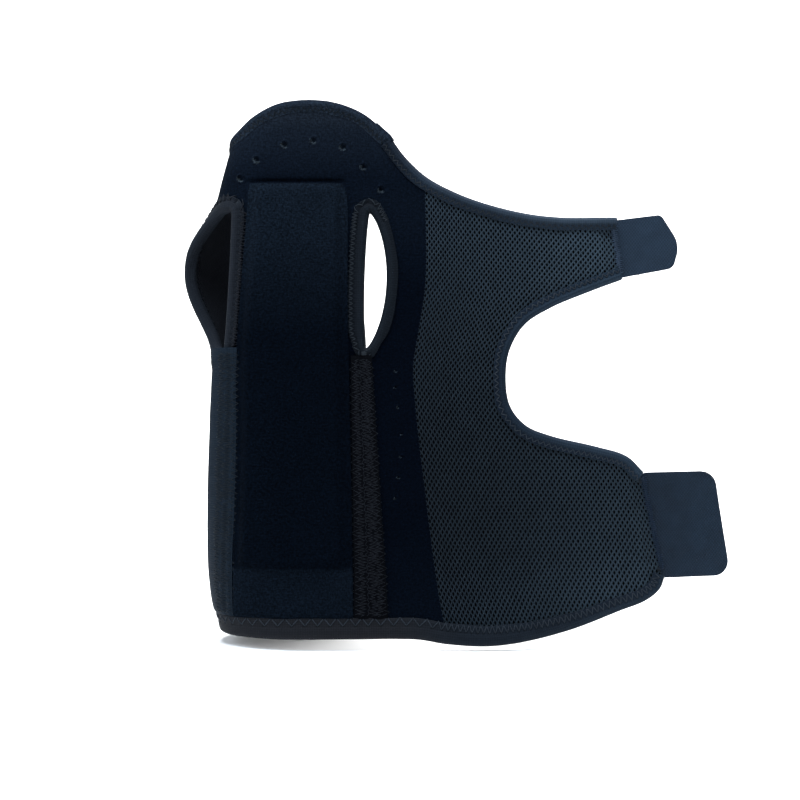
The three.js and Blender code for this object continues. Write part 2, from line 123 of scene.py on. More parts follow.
paper.node_tree.nodes["Principled BSDF"].inputs["Base Color"].default_value = PAPER_TONE
paper.node_tree.nodes["Principled BSDF"].inputs["Roughness"].default_value = PAPER_ROUGHNESS
floor_mesh.materials.append(paper)
print("floor at", round(floor_level / MM, 1), "mm")

# %% Lights
COOL, NEUTRAL = (0.84, 0.92, 1.0), (1.0, 1.0, 1.0)
SURROUND_TONE, SURROUND_STRENGTH = (0.97, 0.98, 1, 1), 0.12
SOFTBOXES = {  # where it stands, where it aims, size, watts, colour
    "flap_softbox": ((-0.06, -0.24, 0.55), (0, -0.03, 0.09), 0.35, 6.5, COOL),
    "left_softbox": ((-0.8, -0.14, 0.35), (-0.04, 0, 0), 0.6, 5.5, COOL),
    "right_softbox": ((0.45, -0.4, 0.6), (0.1, 0, 0.05), 0.35, 2.2, COOL),
    "floor_softbox": ((0.1, 0.35, 1.25), (0.05, 0, -0.11), 1.2, 20, NEUTRAL),
    "wall_softbox": ((0.05, 0.45, 1.1), (0.05, 1.6, 0.1), 0.8, 48, NEUTRAL),
}
for name, (stands_at, aims_at, size, watts, colour) in SOFTBOXES.items():
    lamp = bpy.data.lights.new(name, "AREA")
    lamp.energy, lamp.size, lamp.color = watts, size, colour
    holder = bpy.data.objects.new(name, lamp)
    holder.location = stands_at
    holder.rotation_euler = (Vector(aims_at) - Vector(stands_at)).to_track_quat("-Z", "Y").to_euler()
    bpy.context.scene.collection.objects.link(holder)
studio = bpy.data.worlds.new("studio")
studio.use_nodes = True
studio.node_tree.nodes["Background"].inputs["Color"].default_value = SURROUND_TONE
studio.node_tree.nodes["Background"].inputs["Strength"].default_value = SURROUND_STRENGTH
bpy.context.scene.world = studio
bpy.context.scene.view_settings.view_transform = "Standard"
print(len(SOFTBOXES), "softboxes and a pale surround")

# %% [markdown]
# ## The worn form
# Cloth could be draped on a dummy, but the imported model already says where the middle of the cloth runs. So
# the wrap is a formula: palm and wing face the viewer, then the cloth turns round the thumb side and lies
# along the back. u runs across the flat cloth, v up its length, and n out of the cloth, all in millimetres.

# %% Sections of the wrap
SECTIONS = np.array([  # height, left side, palm depth, back depth
    (-120, -43.5, -29.5, 36), (-94, -51.2, -29.2, 34.5), (-58, -54.2, -28.6, 31.5), (-10, -53, -27.6, 27),
    (25, -51.4, -26.8, 25), (60, -51.2, -26.2, 23), (90, -49.8, -25.8, 19), (118, -42.4, -25.8, 13),
    (142, -34.5, -26, 8),
])
TURN_ROUNDNESS, BACK_HUG, NEARBY = 1.2, 0.004, 0.05
WING_LEAVES, WING_FLAT_FROM, WING_FLAT_DEPTH, WING_SLOPE = 35, 118, -21, 0.2
FLARE_OUT, FLARE_HEIGHT, FLARE_HALF, FLARE_START, FLARE_RIM, FLARE_FADE = 13.5, 61, 38, 48, 67, 115
PALM_RIPPLES, WING_RIPPLES, WING_SOFTENS = (0.26, 0.16), (0.7, 0.45), (60, 110)


def ease(x, low, high):
    """0 before low, 1 after high, and a smooth rise between them."""
    t = np.clip((x - low) / (high - low), 0, 1)
    return t * t * (3 - 2 * t)


def bend(start, end, leave, arrive, span, t):
    """A smooth bend from start to end, for t from 0 to 1, that leaves and arrives with the given slopes."""
    return (
        start * (1 + 2 * t) * (1 - t) ** 2 + end * t * t * (3 - 2 * t)
        + span * (leave * t * (1 - t) ** 2 - arrive * t * t * (1 - t))
    )


def smooth_table(table, at):
    """Rows of a table, read smoothly at places between its first column's values."""
    knots, values = table[:, 0], table[:, 1:]
    slopes = np.diff(values, axis=0) / np.diff(knots)[:, None]
    slopes = np.vstack([slopes[:1], (slopes[:-1] + slopes[1:]) / 2, slopes[-1:]])
    at = np.clip(at, knots[0], knots[-1])
    k = np.clip(np.searchsorted(knots, at) - 1, 0, len(knots) - 2)
    span = (knots[k + 1] - knots[k])[..., None]
    t = (at - knots[k])[..., None] / span
    return bend(values[k], values[k + 1], slopes[k], slopes[k + 1], span, t)


# %% The wrap itself
def middle(u, v):
    """The cloth's middle layer in space: palm and wing, the turn round the thumb side, then the back."""
    left, front, back = np.moveaxis(smooth_table(SECTIONS, v), -1, 0)
    depth = (back - front) / 2
    reach = TURN_ROUNDNESS * depth
    turn_start = left + reach
    plane = WING_FLAT_DEPTH + WING_SLOPE * (u - WING_FLAT_FROM)
    palm = front + (plane - front) * ease(u, WING_LEAVES, WING_FLAT_FROM)
    turn_length = math.pi * np.hypot(reach, depth) * math.sqrt(0.5)
    gone = np.maximum(turn_start - u, 0)
    angle = math.pi * np.minimum(gone / turn_length, 1)
    past = np.maximum(gone - turn_length, 0)
    upright = np.maximum(1 - ((v - FLARE_HEIGHT) / FLARE_HALF) ** 2, 0) ** 2
    flare = FLARE_OUT * upright * ease(-u, FLARE_START, FLARE_RIM) * (1 - ease(-u, FLARE_RIM, FLARE_FADE))
    turned_x = turn_start - reach * np.sin(angle) + past - flare
    turned_y = front + depth * (1 - np.cos(angle)) - BACK_HUG * past * past
    on_palm = u >= turn_start
    return np.stack([np.where(on_palm, u, turned_x), np.where(on_palm, palm, turned_y), v], -1)


def ripple(u, v):
    """The soft unevenness of worn cloth, shared by all that is sewn to it."""
    palm_broad = PALM_RIPPLES[0] * np.sin(u / 13 + 0.7) * np.sin(v / 21 + 0.3)
    palm = palm_broad + PALM_RIPPLES[1] * np.sin(u / 7.5 - v / 17 + 1.9)
    wing = WING_RIPPLES[0] * np.sin(u / 15 + v / 33 + 0.5) + WING_RIPPLES[1] * np.sin(v / 14 - u / 40)
    return palm + wing * ease(u, *WING_SOFTENS)


def wrap(u, v, n):
    """Places on the flat pattern, n out of the cloth, as points in metres."""
    u, v, n = np.broadcast_arrays(*(np.asarray(a, float) for a in (u, v, n)))
    across = middle(u + NEARBY, v) - middle(u - NEARBY, v)
    along = middle(u, v + NEARBY) - middle(u, v - NEARBY)
    outward = np.cross(across, along)
    outward /= np.linalg.norm(outward, axis=-1, keepdims=True)
    return MM * (middle(u, v) + outward * (n + ripple(u, v))[..., None])


print("palm centre sits at", np.round(wrap(0, 0, 0) / MM, 1), "mm")

# %% [markdown]
# ## The edges of the pattern
# A pattern cutter draws an edge by a few marks and a bent spline. The same is done here: each edge is a short
# list of marks, and a smooth curve runs through them.

# %% Marks on the pattern
LAP_FOOT, LAP_TOP = (58.6, -111.6), (48.4, 102.8)
FLAP_MARKS = [
    (-142, 96), (-118, 99), (-95, 106), (-72, 114.5), (-55, 121), (-40, 125.5), (-30, 131.5), (-18, 136.8),
    (-4.5, 138.2), (8, 136.6), (20, 131.6), (31.5, 122),
]
WING_TOP_MARKS = [
    FLAP_MARKS[-1], (38.2, 112.6), LAP_TOP, (60, 96.2), (74, 90.6), (93, 86), (112, 84.3), (136, 84.8),
]
NOTCH_MARKS = [
    (141, 57.4), (124, 51), (106.4, 43.6), (94, 35.6), (87, 24), (85, 11.5), (87, -3), (94.6, -12.4),
    (107, -17.6), (128, -22.6), (143, -27.2), (151, -34.4),
]
HEM_MARKS = [
    (-149, -110), (-90, -110), (-36, -109.8), (14, -109.4), (46, -109.6), LAP_FOOT, (78, -112.6),
    (98, -110.4), (118, -106), (140, -98), (152, -93.6), (158.6, -88.6), (161, -83),
]
LAP_MARKS = [
    LAP_FOOT, (54.1, -87.5), (48.1, -41.5), (43.5, 0), (42.8, 16), (45.4, 33), (48.4, 54), LAP_TOP,
]
BACK_MARKS = [FLAP_MARKS[0], (-148, 40), (-155, -25), (-158, -60), HEM_MARKS[0]]


def smooth_curve(marks, step=1.0):
    """Places about one step apart on a smooth curve through the marks."""
    marks = np.array(marks, float)
    guides = np.vstack([2 * marks[0] - marks[1], marks, 2 * marks[-1] - marks[-2]])
    stretches = []
    for before, start, end, after in zip(guides, guides[1:], guides[2:], guides[3:]):
        pairs = ((before, start), (start, end), (end, after))
        first, span, last = (math.dist(a, b) ** 0.5 for a, b in pairs)
        leave = (start - before) / first - (end - before) / (first + span) + (end - start) / span
        arrive = (end - start) / span - (after - start) / (span + last) + (after - end) / last
        parts = max(1, round(math.dist(start, end) / step))
        t = (np.arange(parts) / parts)[:, None]
        stretches.append(bend(start, end, leave, arrive, span, t))
    return np.vstack([*stretches, marks[-1:]])


flap_edge, wing_top_edge, notch_edge, hem_edge, lap_line, back_edge = (
    smooth_curve(marks)
    for marks in (FLAP_MARKS, WING_TOP_MARKS, NOTCH_MARKS, HEM_MARKS, LAP_MARKS, BACK_MARKS)
)
print("hem of", len(hem_edge), "places, lap line of", len(lap_line))

# %% Thumb openings
WORN_OPENING = {"top": (-41.5, 88), "foot": (-46.4, 24.5), "to_pocket": 1, "away": 22.5, "fullness": 0.75}
SPARE_OPENING = {"top": (23, 86.5), "foot": (21.2, 24), "to_pocket": 1.4, "away": 8.6, "fullness": 1.5}
OPENING_STEPS, FOLD = 120, 1.0


def into_cloth(path, closed):
    """Unit directions to the left of a path's travel, which is where its cloth lies."""
    travel = np.roll(path, -1, 0) - np.roll(path, 1, 0) if closed else np.gradient(path, axis=0)
    travel = travel / np.linalg.norm(travel, axis=1, keepdims=True)
    return np.column_stack([-travel[:, 1], travel[:, 0]])


def opening_edge(opening):
    """The cloth's edge round a thumb opening, run clockwise."""
    turn = 2 * math.pi * np.arange(OPENING_STEPS) / OPENING_STEPS
    down = ((1 - np.cos(turn)) / 2)[:, None]
    swell = np.abs(np.sin(turn)) ** opening["fullness"]
    sideways = np.where(np.sin(turn) > 0, opening["away"], -opening["to_pocket"]) * swell
    side = math.copysign(1, opening["top"][0])
    fold = np.array(opening["top"]) * (1 - down) + np.array(opening["foot"]) * down
    fold[:, 0] += side * sideways
    fold = fold if side > 0 else fold[::-1]
    return fold + FOLD * into_cloth(fold, True)


worn_edge, spare_edge = opening_edge(WORN_OPENING), opening_edge(SPARE_OPENING)
print("worn opening is", round(np.ptp(worn_edge[:, 1]), 1), "mm tall")

# %% [markdown]
# ## Finishes
# All the cloth is nearly black, so the finishes differ by surface: a brushed nap on the velour, a diagonal
# weave on the binding, a smooth fine weave on the hook tape and twisted yarn on the net. Two node groups make
# the patterns, nap and weave, and each finish gives them its own thread count. They read the flat pattern,
# kept as a UV map in centimetres, so the threads follow the cloth round its turn. Colour also changes slowly
# along or across a piece: that is painted light and shade, lighter where light falls on the brace, darker and
# bluer where shade falls, and warmer on part of the hem as a painted reflection.

# %% Helpers for nodes
def node(tree, kind, values=None, **settings):
    """A new node with its settings. An input value that is itself a socket is linked."""
    made = tree.nodes.new("ShaderNode" + kind)
    for key, value in settings.items():
        setattr(made, key, value)
    for key, value in (values or {}).items():
        if isinstance(value, bpy.types.NodeSocket):
            tree.links.new(value, made.inputs[key])
        else:
            made.inputs[key].default_value = value
    return made


def new_group(name, numbers):
    """A shader group that takes the pattern and some numbers and gives a shade and a height."""
    tree = bpy.data.node_groups.new(name, "ShaderNodeTree")
    tree.interface.new_socket(name="Pattern", in_out="INPUT", socket_type="NodeSocketVector")
    for socket in numbers:
        tree.interface.new_socket(name=socket, in_out="INPUT", socket_type="NodeSocketFloat")
    for socket in ("Shade", "Height"):
        tree.interface.new_socket(name=socket, in_out="OUTPUT", socket_type="NodeSocketFloat")
    return tree, tree.nodes.new("NodeGroupInput").outputs, tree.nodes.new("NodeGroupOutput").inputs


def sums(tree, kind, first, second=0.0):
    """One arithmetic step between two sockets or numbers."""
    return node(tree, "Math", {0: first, 1: second}, operation=kind).outputs[0]


def noise(tree, place, scale, **more):
    """The value of a noise texture at a place."""
    values = {"Vector": place, "Scale": scale, "Detail": 2, **more}
    return node(tree, "TexNoise", values).outputs[0]


# %% Nap group
FIBRE_LAYS = (
    {"Scale": (0.45, 1, 1), "Rotation": (0, 0, 0.2)},
    {"Scale": (1, 0.5, 1), "Rotation": (0, 0, 0.7)},
)
TUFT_CONTRAST, PATCH_CONTRAST, RIB_CONTRAST, NAP_MIDDLE = 5.5, 0.35, 0.05, 0.45
PATCH_SCALE = 0.9
nap, nap_in, nap_out = new_group("nap", ("Fibres", "Rows"))
fibres = []
for lie in FIBRE_LAYS:
    lying = node(nap, "Mapping", {"Vector": nap_in["Pattern"], **lie}).outputs[0]
    fibres.append(noise(nap, lying, nap_in["Fibres"], Detail=3, Roughness=0.65))
tuft = sums(nap, "MULTIPLY", sums(nap, "ADD", *fibres), 0.5)
flat_axes = node(nap, "SeparateXYZ", {0: nap_in["Pattern"]})
rib_turn = sums(nap, "MULTIPLY", sums(nap, "MULTIPLY", flat_axes.outputs[1], nap_in["Rows"]), 2 * math.pi)
ribs = sums(nap, "MULTIPLY", sums(nap, "SINE", rib_turn), RIB_CONTRAST)
patchy = noise(nap, nap_in["Pattern"], PATCH_SCALE)
contrast = sums(nap, "MULTIPLY", sums(nap, "SUBTRACT", tuft, 0.5), TUFT_CONTRAST)
patches = sums(nap, "MULTIPLY", sums(nap, "SUBTRACT", patchy, 0.5), PATCH_CONTRAST)
mottled = sums(nap, "ADD", sums(nap, "ADD", contrast, patches), ribs)
shade = node(nap, "Clamp", {0: sums(nap, "ADD", mottled, NAP_MIDDLE)})
nap.links.new(shade.outputs[0], nap_out["Shade"])
nap.links.new(tuft, nap_out["Height"])
print("group", nap.name, "has", len(nap.nodes), "nodes")

# %% Weave group
UNEVEN_SCALE, DULL_SCALE, OVER_RELIEF, OVER_CONTRAST = 14, 1.3, 0.5, 0.3
weave, weave_in, weave_out = new_group("weave", ("Across", "Along", "Turn"))
turned = node(
    weave, "VectorRotate", {"Vector": weave_in["Pattern"], "Angle": weave_in["Turn"]}, rotation_type="Z_AXIS"
)
weave_axes = node(weave, "SeparateXYZ", {0: turned.outputs[0]})
waves = []
for k, count in ((0, "Across"), (1, "Along")):
    yarns = sums(weave, "MULTIPLY", weave_axes.outputs[k], weave_in[count])
    waves.append(sums(weave, "SINE", sums(weave, "MULTIPLY", yarns, math.pi)))
over = sums(weave, "MULTIPLY", *waves)
uneven = noise(weave, weave_in["Pattern"], UNEVEN_SCALE)
dull = noise(weave, weave_in["Pattern"], DULL_SCALE)
raised = sums(weave, "ADD", sums(weave, "MULTIPLY", over, OVER_RELIEF), uneven)
wear = sums(weave, "MULTIPLY", sums(weave, "ADD", uneven, dull), 0.5)
shade = node(weave, "Clamp", {0: sums(weave, "ADD", sums(weave, "MULTIPLY", over, OVER_CONTRAST), wear)})
weave.links.new(shade.outputs[0], weave_out["Shade"])
weave.links.new(raised, weave_out["Height"])
print("group", weave.name, "has", len(weave.nodes), "nodes")

# %% A cloth finish from a pattern group
BUMP_STRENGTH, SHEEN_ROUGHNESS, SHEEN_TINT = 0.7, 0.45, (0.6, 0.8, 1, 1)


def paint_light_and_shade(tree, tint, flat, axis, stops, bluer):
    """Paints light and shade into a tint: the tint times (place in mm, brightness) stops along one axis of
    the pattern. A number for the brightness makes the painted shade bluer where it is darker, and three
    numbers give the shares of red, green and blue."""
    low, high = stops[0][0], stops[-1][0]
    reach = node(tree, "SeparateXYZ", {0: flat}).outputs[axis]
    share = node(tree, "MapRange", {"Value": reach, "From Min": low / 10, "From Max": high / 10}).outputs[0]
    ramp = node(tree, "ValToRGB", {0: share})
    for _ in stops[2:]:
        ramp.color_ramp.elements.new(0.5)
    for stop, (place, bright) in zip(ramp.color_ramp.elements, stops):
        stop.position = (place - low) / (high - low)
        shares = bright
        if not isinstance(bright, tuple):
            shares = (bright ** (1 + bluer), bright, bright ** (1 - bluer))
        stop.color = (*shares, 1)
    return node(tree, "VectorMath", {0: tint, 1: ramp.outputs[0]}, operation="MULTIPLY").outputs[0]


def cloth_finish(
    name, group, counts, colour, spread, relief, roughness,
    shine=0.08, sheen=0.01, painted_light_up=None, across=None, bluer=0.14,
):
    """A cloth material: one pattern group drives its colour and its bump. The stops up the pattern and across
    it
    paint light and shade into the colour: lighter where light falls, darker where shade falls."""
    made = bpy.data.materials.new(name)
    made.use_nodes = True
    tree = made.node_tree
    shader = tree.nodes["Principled BSDF"]
    flat = node(tree, "UVMap", uv_map="pattern").outputs[0]
    pattern = tree.nodes.new("ShaderNodeGroup")
    pattern.node_tree = group
    tree.links.new(flat, pattern.inputs["Pattern"])
    for key, value in counts.items():
        pattern.inputs[key].default_value = value
    dark, light = ((*(part * share for part in colour), 1) for share in (1 - spread, 1 + spread))
    tint = node(tree, "Mix", {0: pattern.outputs["Shade"], 6: dark, 7: light}, data_type="RGBA").outputs[2]
    for axis, stops in ((1, painted_light_up), (0, across)):
        if stops:
            tint = paint_light_and_shade(tree, tint, flat, axis, stops, bluer)
    relief_values = {"Height": pattern.outputs["Height"], "Strength": BUMP_STRENGTH, "Distance": relief * MM}
    bump = node(tree, "Bump", relief_values)
    tree.links.new(tint, shader.inputs["Base Color"])
    tree.links.new(bump.outputs[0], shader.inputs["Normal"])
    plain_values = {
        "Roughness": roughness, "Specular IOR Level": shine, "Sheen Weight": sheen,
        "Sheen Roughness": SHEEN_ROUGHNESS, "Sheen Tint": SHEEN_TINT,
    }
    for key, value in plain_values.items():
        shader.inputs[key].default_value = value
    return made


# %% Velour finishes
NAP_COUNTS, LINING_COUNTS = {"Fibres": 15, "Rows": 8.5}, {"Across": 14, "Along": 9, "Turn": 0}
# Painted light and shade up the panel: darkest over the palm, a little lighter towards the hem, and much
# lighter up the flap where the top light falls.
velour = cloth_finish(
    "velour", nap, NAP_COUNTS, (0.0075, 0.01065, 0.0158), 0.45, 0.5, 0.95, 0.01, 0.004, bluer=0.24,
    painted_light_up=[
        (-112, 0.27), (-90, 0.21), (-60, 0.147), (50, 0.14), (65, 0.21), (75, 0.28), (92, 0.3), (102, 0.27),
        (109, 0.36), (116, 0.47), (124, 0.57), (131, 0.84), (140, 1),
    ],
)
# A paler velour for the lit side of each vent rim: a painted highlight.
painted_rim_highlight = cloth_finish("painted_rim_highlight", nap, NAP_COUNTS, (0.012, 0.017, 0.022), 0.7, 0.3, 0.85, 0.03)
# Painted light and shade up the pocket: darkest over its middle and lighter towards its top, where light from
# above falls; the band below the stay's foot is lighter too.
pocket_velour = cloth_finish(
    "pocket_velour", nap, NAP_COUNTS, (0.0036, 0.0062, 0.0103), 0.6, 0.5, 0.95, 0.01, 0.004, bluer=0.2,
    painted_light_up=[(-100, 0.7), (-78.2, 0.7), (-77.2, 0.32), (-40, 0.3), (30, 0.28), (80, 0.85), (101, 0.95)],
)
# Painted shade: the flap binding's colour is darker over the roll of its fold, where light falls on it.
edge_velour = cloth_finish(
    "edge_velour", nap, NAP_COUNTS, (0.0095, 0.0142, 0.022), 0.5, 0.4, 0.9, 0.01, 0.004,
    painted_light_up=[(-9, 1), (-3.4, 1), (-1.8, 0.6), (1.8, 0.6), (3.4, 1), (9, 1)],
)
lining = cloth_finish("lining", weave, LINING_COUNTS, (0.004, 0.005, 0.0075), 0.4, 0.15, 0.8)
print("velour", velour.name, "is drawn by", len(velour.node_tree.nodes), "nodes")

# %% Tape finishes
BIAS_COUNTS, TAB_COUNTS = {"Across": 13, "Along": 13, "Turn": 0.785}, {"Across": 14, "Along": 11, "Turn": 0}
# Painted light on folded tape: lighter over the fold's roll, a painted highlight, and darker out on the lip,
# a painted shade along the crease beside it.
LIT_FOLD_SHADED_LIP = [(-13, 0.75), (-5.4, 0.75), (-3.6, 1.1), (3.6, 1.1), (5.4, 0.75), (13, 0.75)]


def tape_finish(name, colour, across=None, painted_light_up=LIT_FOLD_SHADED_LIP, roughness=0.75, shine=0.06, sheen=0.006):
    """A bias-woven tape. By default its colour is painted lighter over the fold's roll, a painted highlight,
    and darker out on the lip, a painted shade along the crease beside it.
    """
    return cloth_finish(name, weave, BIAS_COUNTS, colour, 0.35, 0.16, roughness, shine, sheen, painted_light_up, across)


binding_tape = tape_finish("binding_tape", (0.0084, 0.0116, 0.0165))
thumb_binding = tape_finish("thumb_binding", (0.005, 0.0069, 0.0104))
spare_tape = tape_finish("spare_tape", (0.0032, 0.0051, 0.0079), shine=0.05, sheen=0.005)
thumb_tape = tape_finish("thumb_tape", (0.0038, 0.0078, 0.0134), painted_light_up=None, shine=0.04, sheen=0.004)
# Painted light along the hem: warmer at the thumb-side end, a painted warm reflection, and cooler towards the
# strap end.
hem_tape = tape_finish("hem_tape", (0.0105, 0.0136, 0.0218), [
    (0, (1, 0.83, 0.64)), (185, (1, 0.83, 0.64)), (215, (0.75, 0.83, 0.76)), (260, (0.74, 0.9, 0.85)),
    (318, (0.75, 1, 1)),
])
# Painted light and shade along the wing's top binding: lightest at the strap end, where light falls, and
# darker towards the flap.
wing_tape = tape_finish(
    "wing_tape", (0.0145, 0.0235, 0.036), [(0, 1), (40, 1), (62, 0.68), (92, 0.6), (105, 0.35), (118, 0.22)]
)
# Painted shade along the notch binding: darkest deep inside the notch and lighter at both straps.
notch_tape = tape_finish(
    "notch_tape", (0.0117, 0.021, 0.0335), [(0, 1), (45, 0.65), (84, 0.4), (120, 0.65), (167, 1)]
)
seam_cloth = tape_finish("seam_cloth", (0.0013, 0.0017, 0.0026), None, None, 0.8, 0.02, 0.003)
hook_tape = cloth_finish("hook_tape", weave, TAB_COUNTS, (0.0102, 0.0195, 0.034), 0.5, 0.2, 0.62, 0.1, 0.006)
# A darker copy of the hook tape for the lower tab, lightest at its outer end: painted shade, as the lower
# strap gets less light.
shaded_lower_hook_tape = cloth_finish(
    "shaded_lower_hook_tape", weave, TAB_COUNTS, (0.0056, 0.0127, 0.0236), 0.55, 0.2, 0.62, 0.1, 0.006,
    across=[(150, 0.77), (166, 0.8), (182, 0.98), (197, 1)],
)
print("binding is drawn by", len(binding_tape.node_tree.nodes), "nodes")

# %% Mesh and thread finishes
YARN_COUNTS, CORE_COUNTS = {"Across": 30, "Along": 22, "Turn": 0.5}, {"Fibres": 16, "Rows": 6}
TWIST_COUNTS = {"Across": 30, "Along": 30, "Turn": 0.6}
# Painted light and shade on the net: darker low on the wing and by the lap line, lighter upwards and towards
# the straps.
net_yarn = cloth_finish(
    "net_yarn", weave, YARN_COUNTS, (0.0365, 0.057, 0.0785), 0.4, 0.12, 0.7, 0.06, 0.008, bluer=0.03,
    painted_light_up=[
        (-115, 0.68), (-88, 0.55), (-70, 0.43), (-50, 0.41), (-10, 0.44), (32, 0.58), (51, 0.68), (70, 0.79),
        (105, 1),
    ],
    across=[(45, 0.4), (60, 0.43), (80, 0.51), (97, 0.59), (116, 0.76), (134, 0.94), (160, 1)],
)
# The core's near-black front stands for the inner yarns and is painted shade for the shadow between the
# mesh's two faces.
shaded_spacer_core = cloth_finish(
    "shaded_spacer_core", nap, CORE_COUNTS, (0.0012, 0.0016, 0.0024), 0.6, 0.3, 0.9, 0.02, 0.002
)


def thread_finish(name, colour, spread=0.4, shine=0.06, sheen=0.006, painted_light_up=None):
    """Twisted sewing thread."""
    return cloth_finish(name, weave, TWIST_COUNTS, colour, spread, 0.08, 0.6, shine, sheen, painted_light_up)


pale_thread = thread_finish("pale_thread", (0.0165, 0.022, 0.03), shine=0.08, sheen=0.01)
mid_thread = thread_finish("mid_thread", (0.0105, 0.014, 0.0185))
# Painted shade: the satin columns are darker on the lower strap than on the upper one.
satin_thread = thread_finish(
    "satin_thread", (0.036, 0.056, 0.09), painted_light_up=[(-90, 0.4), (-30, 0.4), (50, 1), (95, 1)]
)
tape_thread = thread_finish("tape_thread", (0.0046, 0.0074, 0.011))
seam_thread = thread_finish("seam_thread", (0.0049, 0.0062, 0.0092), 0.5)
dark_thread = thread_finish("dark_thread", (0.0022, 0.003, 0.0048), shine=0.04, sheen=0.004)
print(len(bpy.data.materials), "materials")

# %% [markdown]
# ## Helpers for cloth pieces
# A piece starts flat in a bmesh, with its places in millimetres. Its flat places go into the UV map before it
# is wrapped, so that finishes keep to the cloth. A sheet could be cut face by face, but a die does it better:
# a fine flat plate is cut by an upright block with the pattern's outline, using a Boolean.

# %% Read, place and finish a flat mesh
def places_of(bm):
    return np.array([vert.co[:] for vert in bm.verts]).reshape(-1, 3)


def put(verts, places):
    for vert, place in zip(verts, places):
        vert.co = place


def mark_pattern(bm, flat):
    """Keeps flat places, in millimetres for each vertex, as a UV map in centimetres."""
    bm.verts.index_update()
    layer = bm.loops.layers.uv.new("pattern")
    for face in bm.faces:
        for loop in face.loops:
            loop[layer].uv = flat[loop.vert.index][:2] / 10


def make_piece(name, bm, finishes, nodes=(), thickness=0, sharp=None):
    """Turns a bmesh into a piece that rides on the brace and stands for the given CAD nodes. It may get a
    thickness in millimetres, and sharp edges where its faces meet at more than some degrees."""
    mesh = bpy.data.meshes.new(name)
    bm.to_mesh(mesh)
    bm.free()
    mesh.shade_smooth()
    if sharp:
        mesh.set_sharp_from_angle(angle=math.radians(sharp))
    for finish in finishes:
        mesh.materials.append(finish)
    piece = bpy.data.objects.new(name, mesh)
    bpy.context.scene.collection.objects.link(piece)
    if thickness:
        wall = piece.modifiers.new("cloth_thickness", "SOLIDIFY")
        wall.thickness = thickness * MM
        wall.offset = -1
    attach(piece, "root")
    if nodes:
        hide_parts(*nodes)
    print(name, "has", len(mesh.polygons), "faces")
    return piece


# %% Cut with a die
DIE_HEIGHT, SAME_PLACE = 12, 0.01


def thicken(bm, height):
    """Makes a flat mesh a closed plate that rises by a height."""
    grown = bmesh.ops.extrude_face_region(bm, geom=bm.faces[:], use_keep_orig=True)["geom"]
    bmesh.ops.translate(bm, vec=(0, 0, height), verts=new_verts(grown))
    bmesh.ops.recalc_face_normals(bm, faces=bm.faces)


def stand(name, bm):
    """A plain object from a bmesh, for use as a tool."""
    mesh = bpy.data.meshes.new(name)
    bm.to_mesh(mesh)
    bm.free()
    tool = bpy.data.objects.new(name, mesh)
    bpy.context.scene.collection.objects.link(tool)
    return tool


def die_from(loops):
    """Upright blocks with the given outlines."""
    bm = bmesh.new()
    for loop in loops:
        keep = np.linalg.norm(loop - np.roll(loop, 1, 0), axis=1) > SAME_PLACE
        bm.faces.new([bm.verts.new((u, v, -DIE_HEIGHT / 2)) for u, v in loop[keep]])
    thicken(bm, DIE_HEIGHT)
    return stand("die", bm)


def die_cut(bm, outline, holes=()):
    """A closed flat plate, cut to an outline with holes."""
    plate = stand("plate", bm)
    dies = [("INTERSECT", die_from([outline]))]
    if len(holes):
        dies.append(("DIFFERENCE", die_from(holes)))
    for action, die in dies:
        cut = plate.modifiers.new("cut", "BOOLEAN")
        cut.operation, cut.object, cut.solver = action, die, "MANIFOLD"
    evaluated = plate.evaluated_get(bpy.context.evaluated_depsgraph_get())
    cut_bm = bmesh.new()
    cut_bm.from_mesh(bpy.data.meshes.new_from_object(evaluated))
    for tool in (plate, *(die for _, die in dies)):
        bpy.data.objects.remove(tool)
    return cut_bm


# %% Cut and wrap a sheet
FINER_WITHIN, FINER_CUTS = 3.4, 4


def cut_sheet(outline, holes, step, finer_near=()):
    """A flat plate from level -0.5 to 0.5, cut to an outline with holes, and a finer grid near some spots."""
    low, high = outline.min(0) - step, outline.max(0) + step
    columns, rows = np.ceil((high - low) / step).astype(int)
    bm = bmesh.new()
    bmesh.ops.create_grid(bm, x_segments=int(columns), y_segments=int(rows), size=0.5)
    bmesh.ops.scale(bm, vec=(*(high - low), 1), verts=bm.verts)
    bmesh.ops.translate(bm, vec=(*(high + low) / 2, -0.5), verts=bm.verts)
    if len(finer_near):
        mids = np.array([((e.verts[0].co + e.verts[1].co) / 2)[:2] for e in bm.edges])
        away = np.linalg.norm(mids[:, None] - np.array(finer_near), axis=2).min(1)
        close = [e for e, gap in zip(bm.edges, away) if gap < FINER_WITHIN]
        bmesh.ops.subdivide_edges(bm, edges=close, cuts=FINER_CUTS, use_grid_fill=True)
    thicken(bm, 1)
    return die_cut(bm, outline, holes)


def wrap_sheet(bm, lower, upper):
    """Gives a cut sheet its two levels, each a number or a function of the flat place, then wraps it."""
    flat = places_of(bm)
    mark_pattern(bm, flat)
    u, v, side = flat.T
    low, high = (level(u, v) if callable(level) else level for level in (lower, upper))
    n = np.where(side > 0, high, low)
    for face in bm.faces:
        face.material_index = 0 if all(flat[vert.index][2] > 0 for vert in face.verts) else 1
    put(bm.verts, wrap(u, v, n))


# %% [markdown]
# ## Palm and back panel
# One velour-faced neoprene sheet, 3 mm thick, makes the top flap, the palm and the back. It has two thumb
# openings and two arcs of vents. Seen from the palm the vents are small dark craters whose rims stand up and
# catch light on one side, and those beside the wing are smaller. That lit side of each rim is also painted in
# a paler velour, a painted highlight. They could be drilled through, but nothing shows through the real ones,
# so they are pressed into the sheet's face. So is a crease above the pocket, and the grid is finer near both.

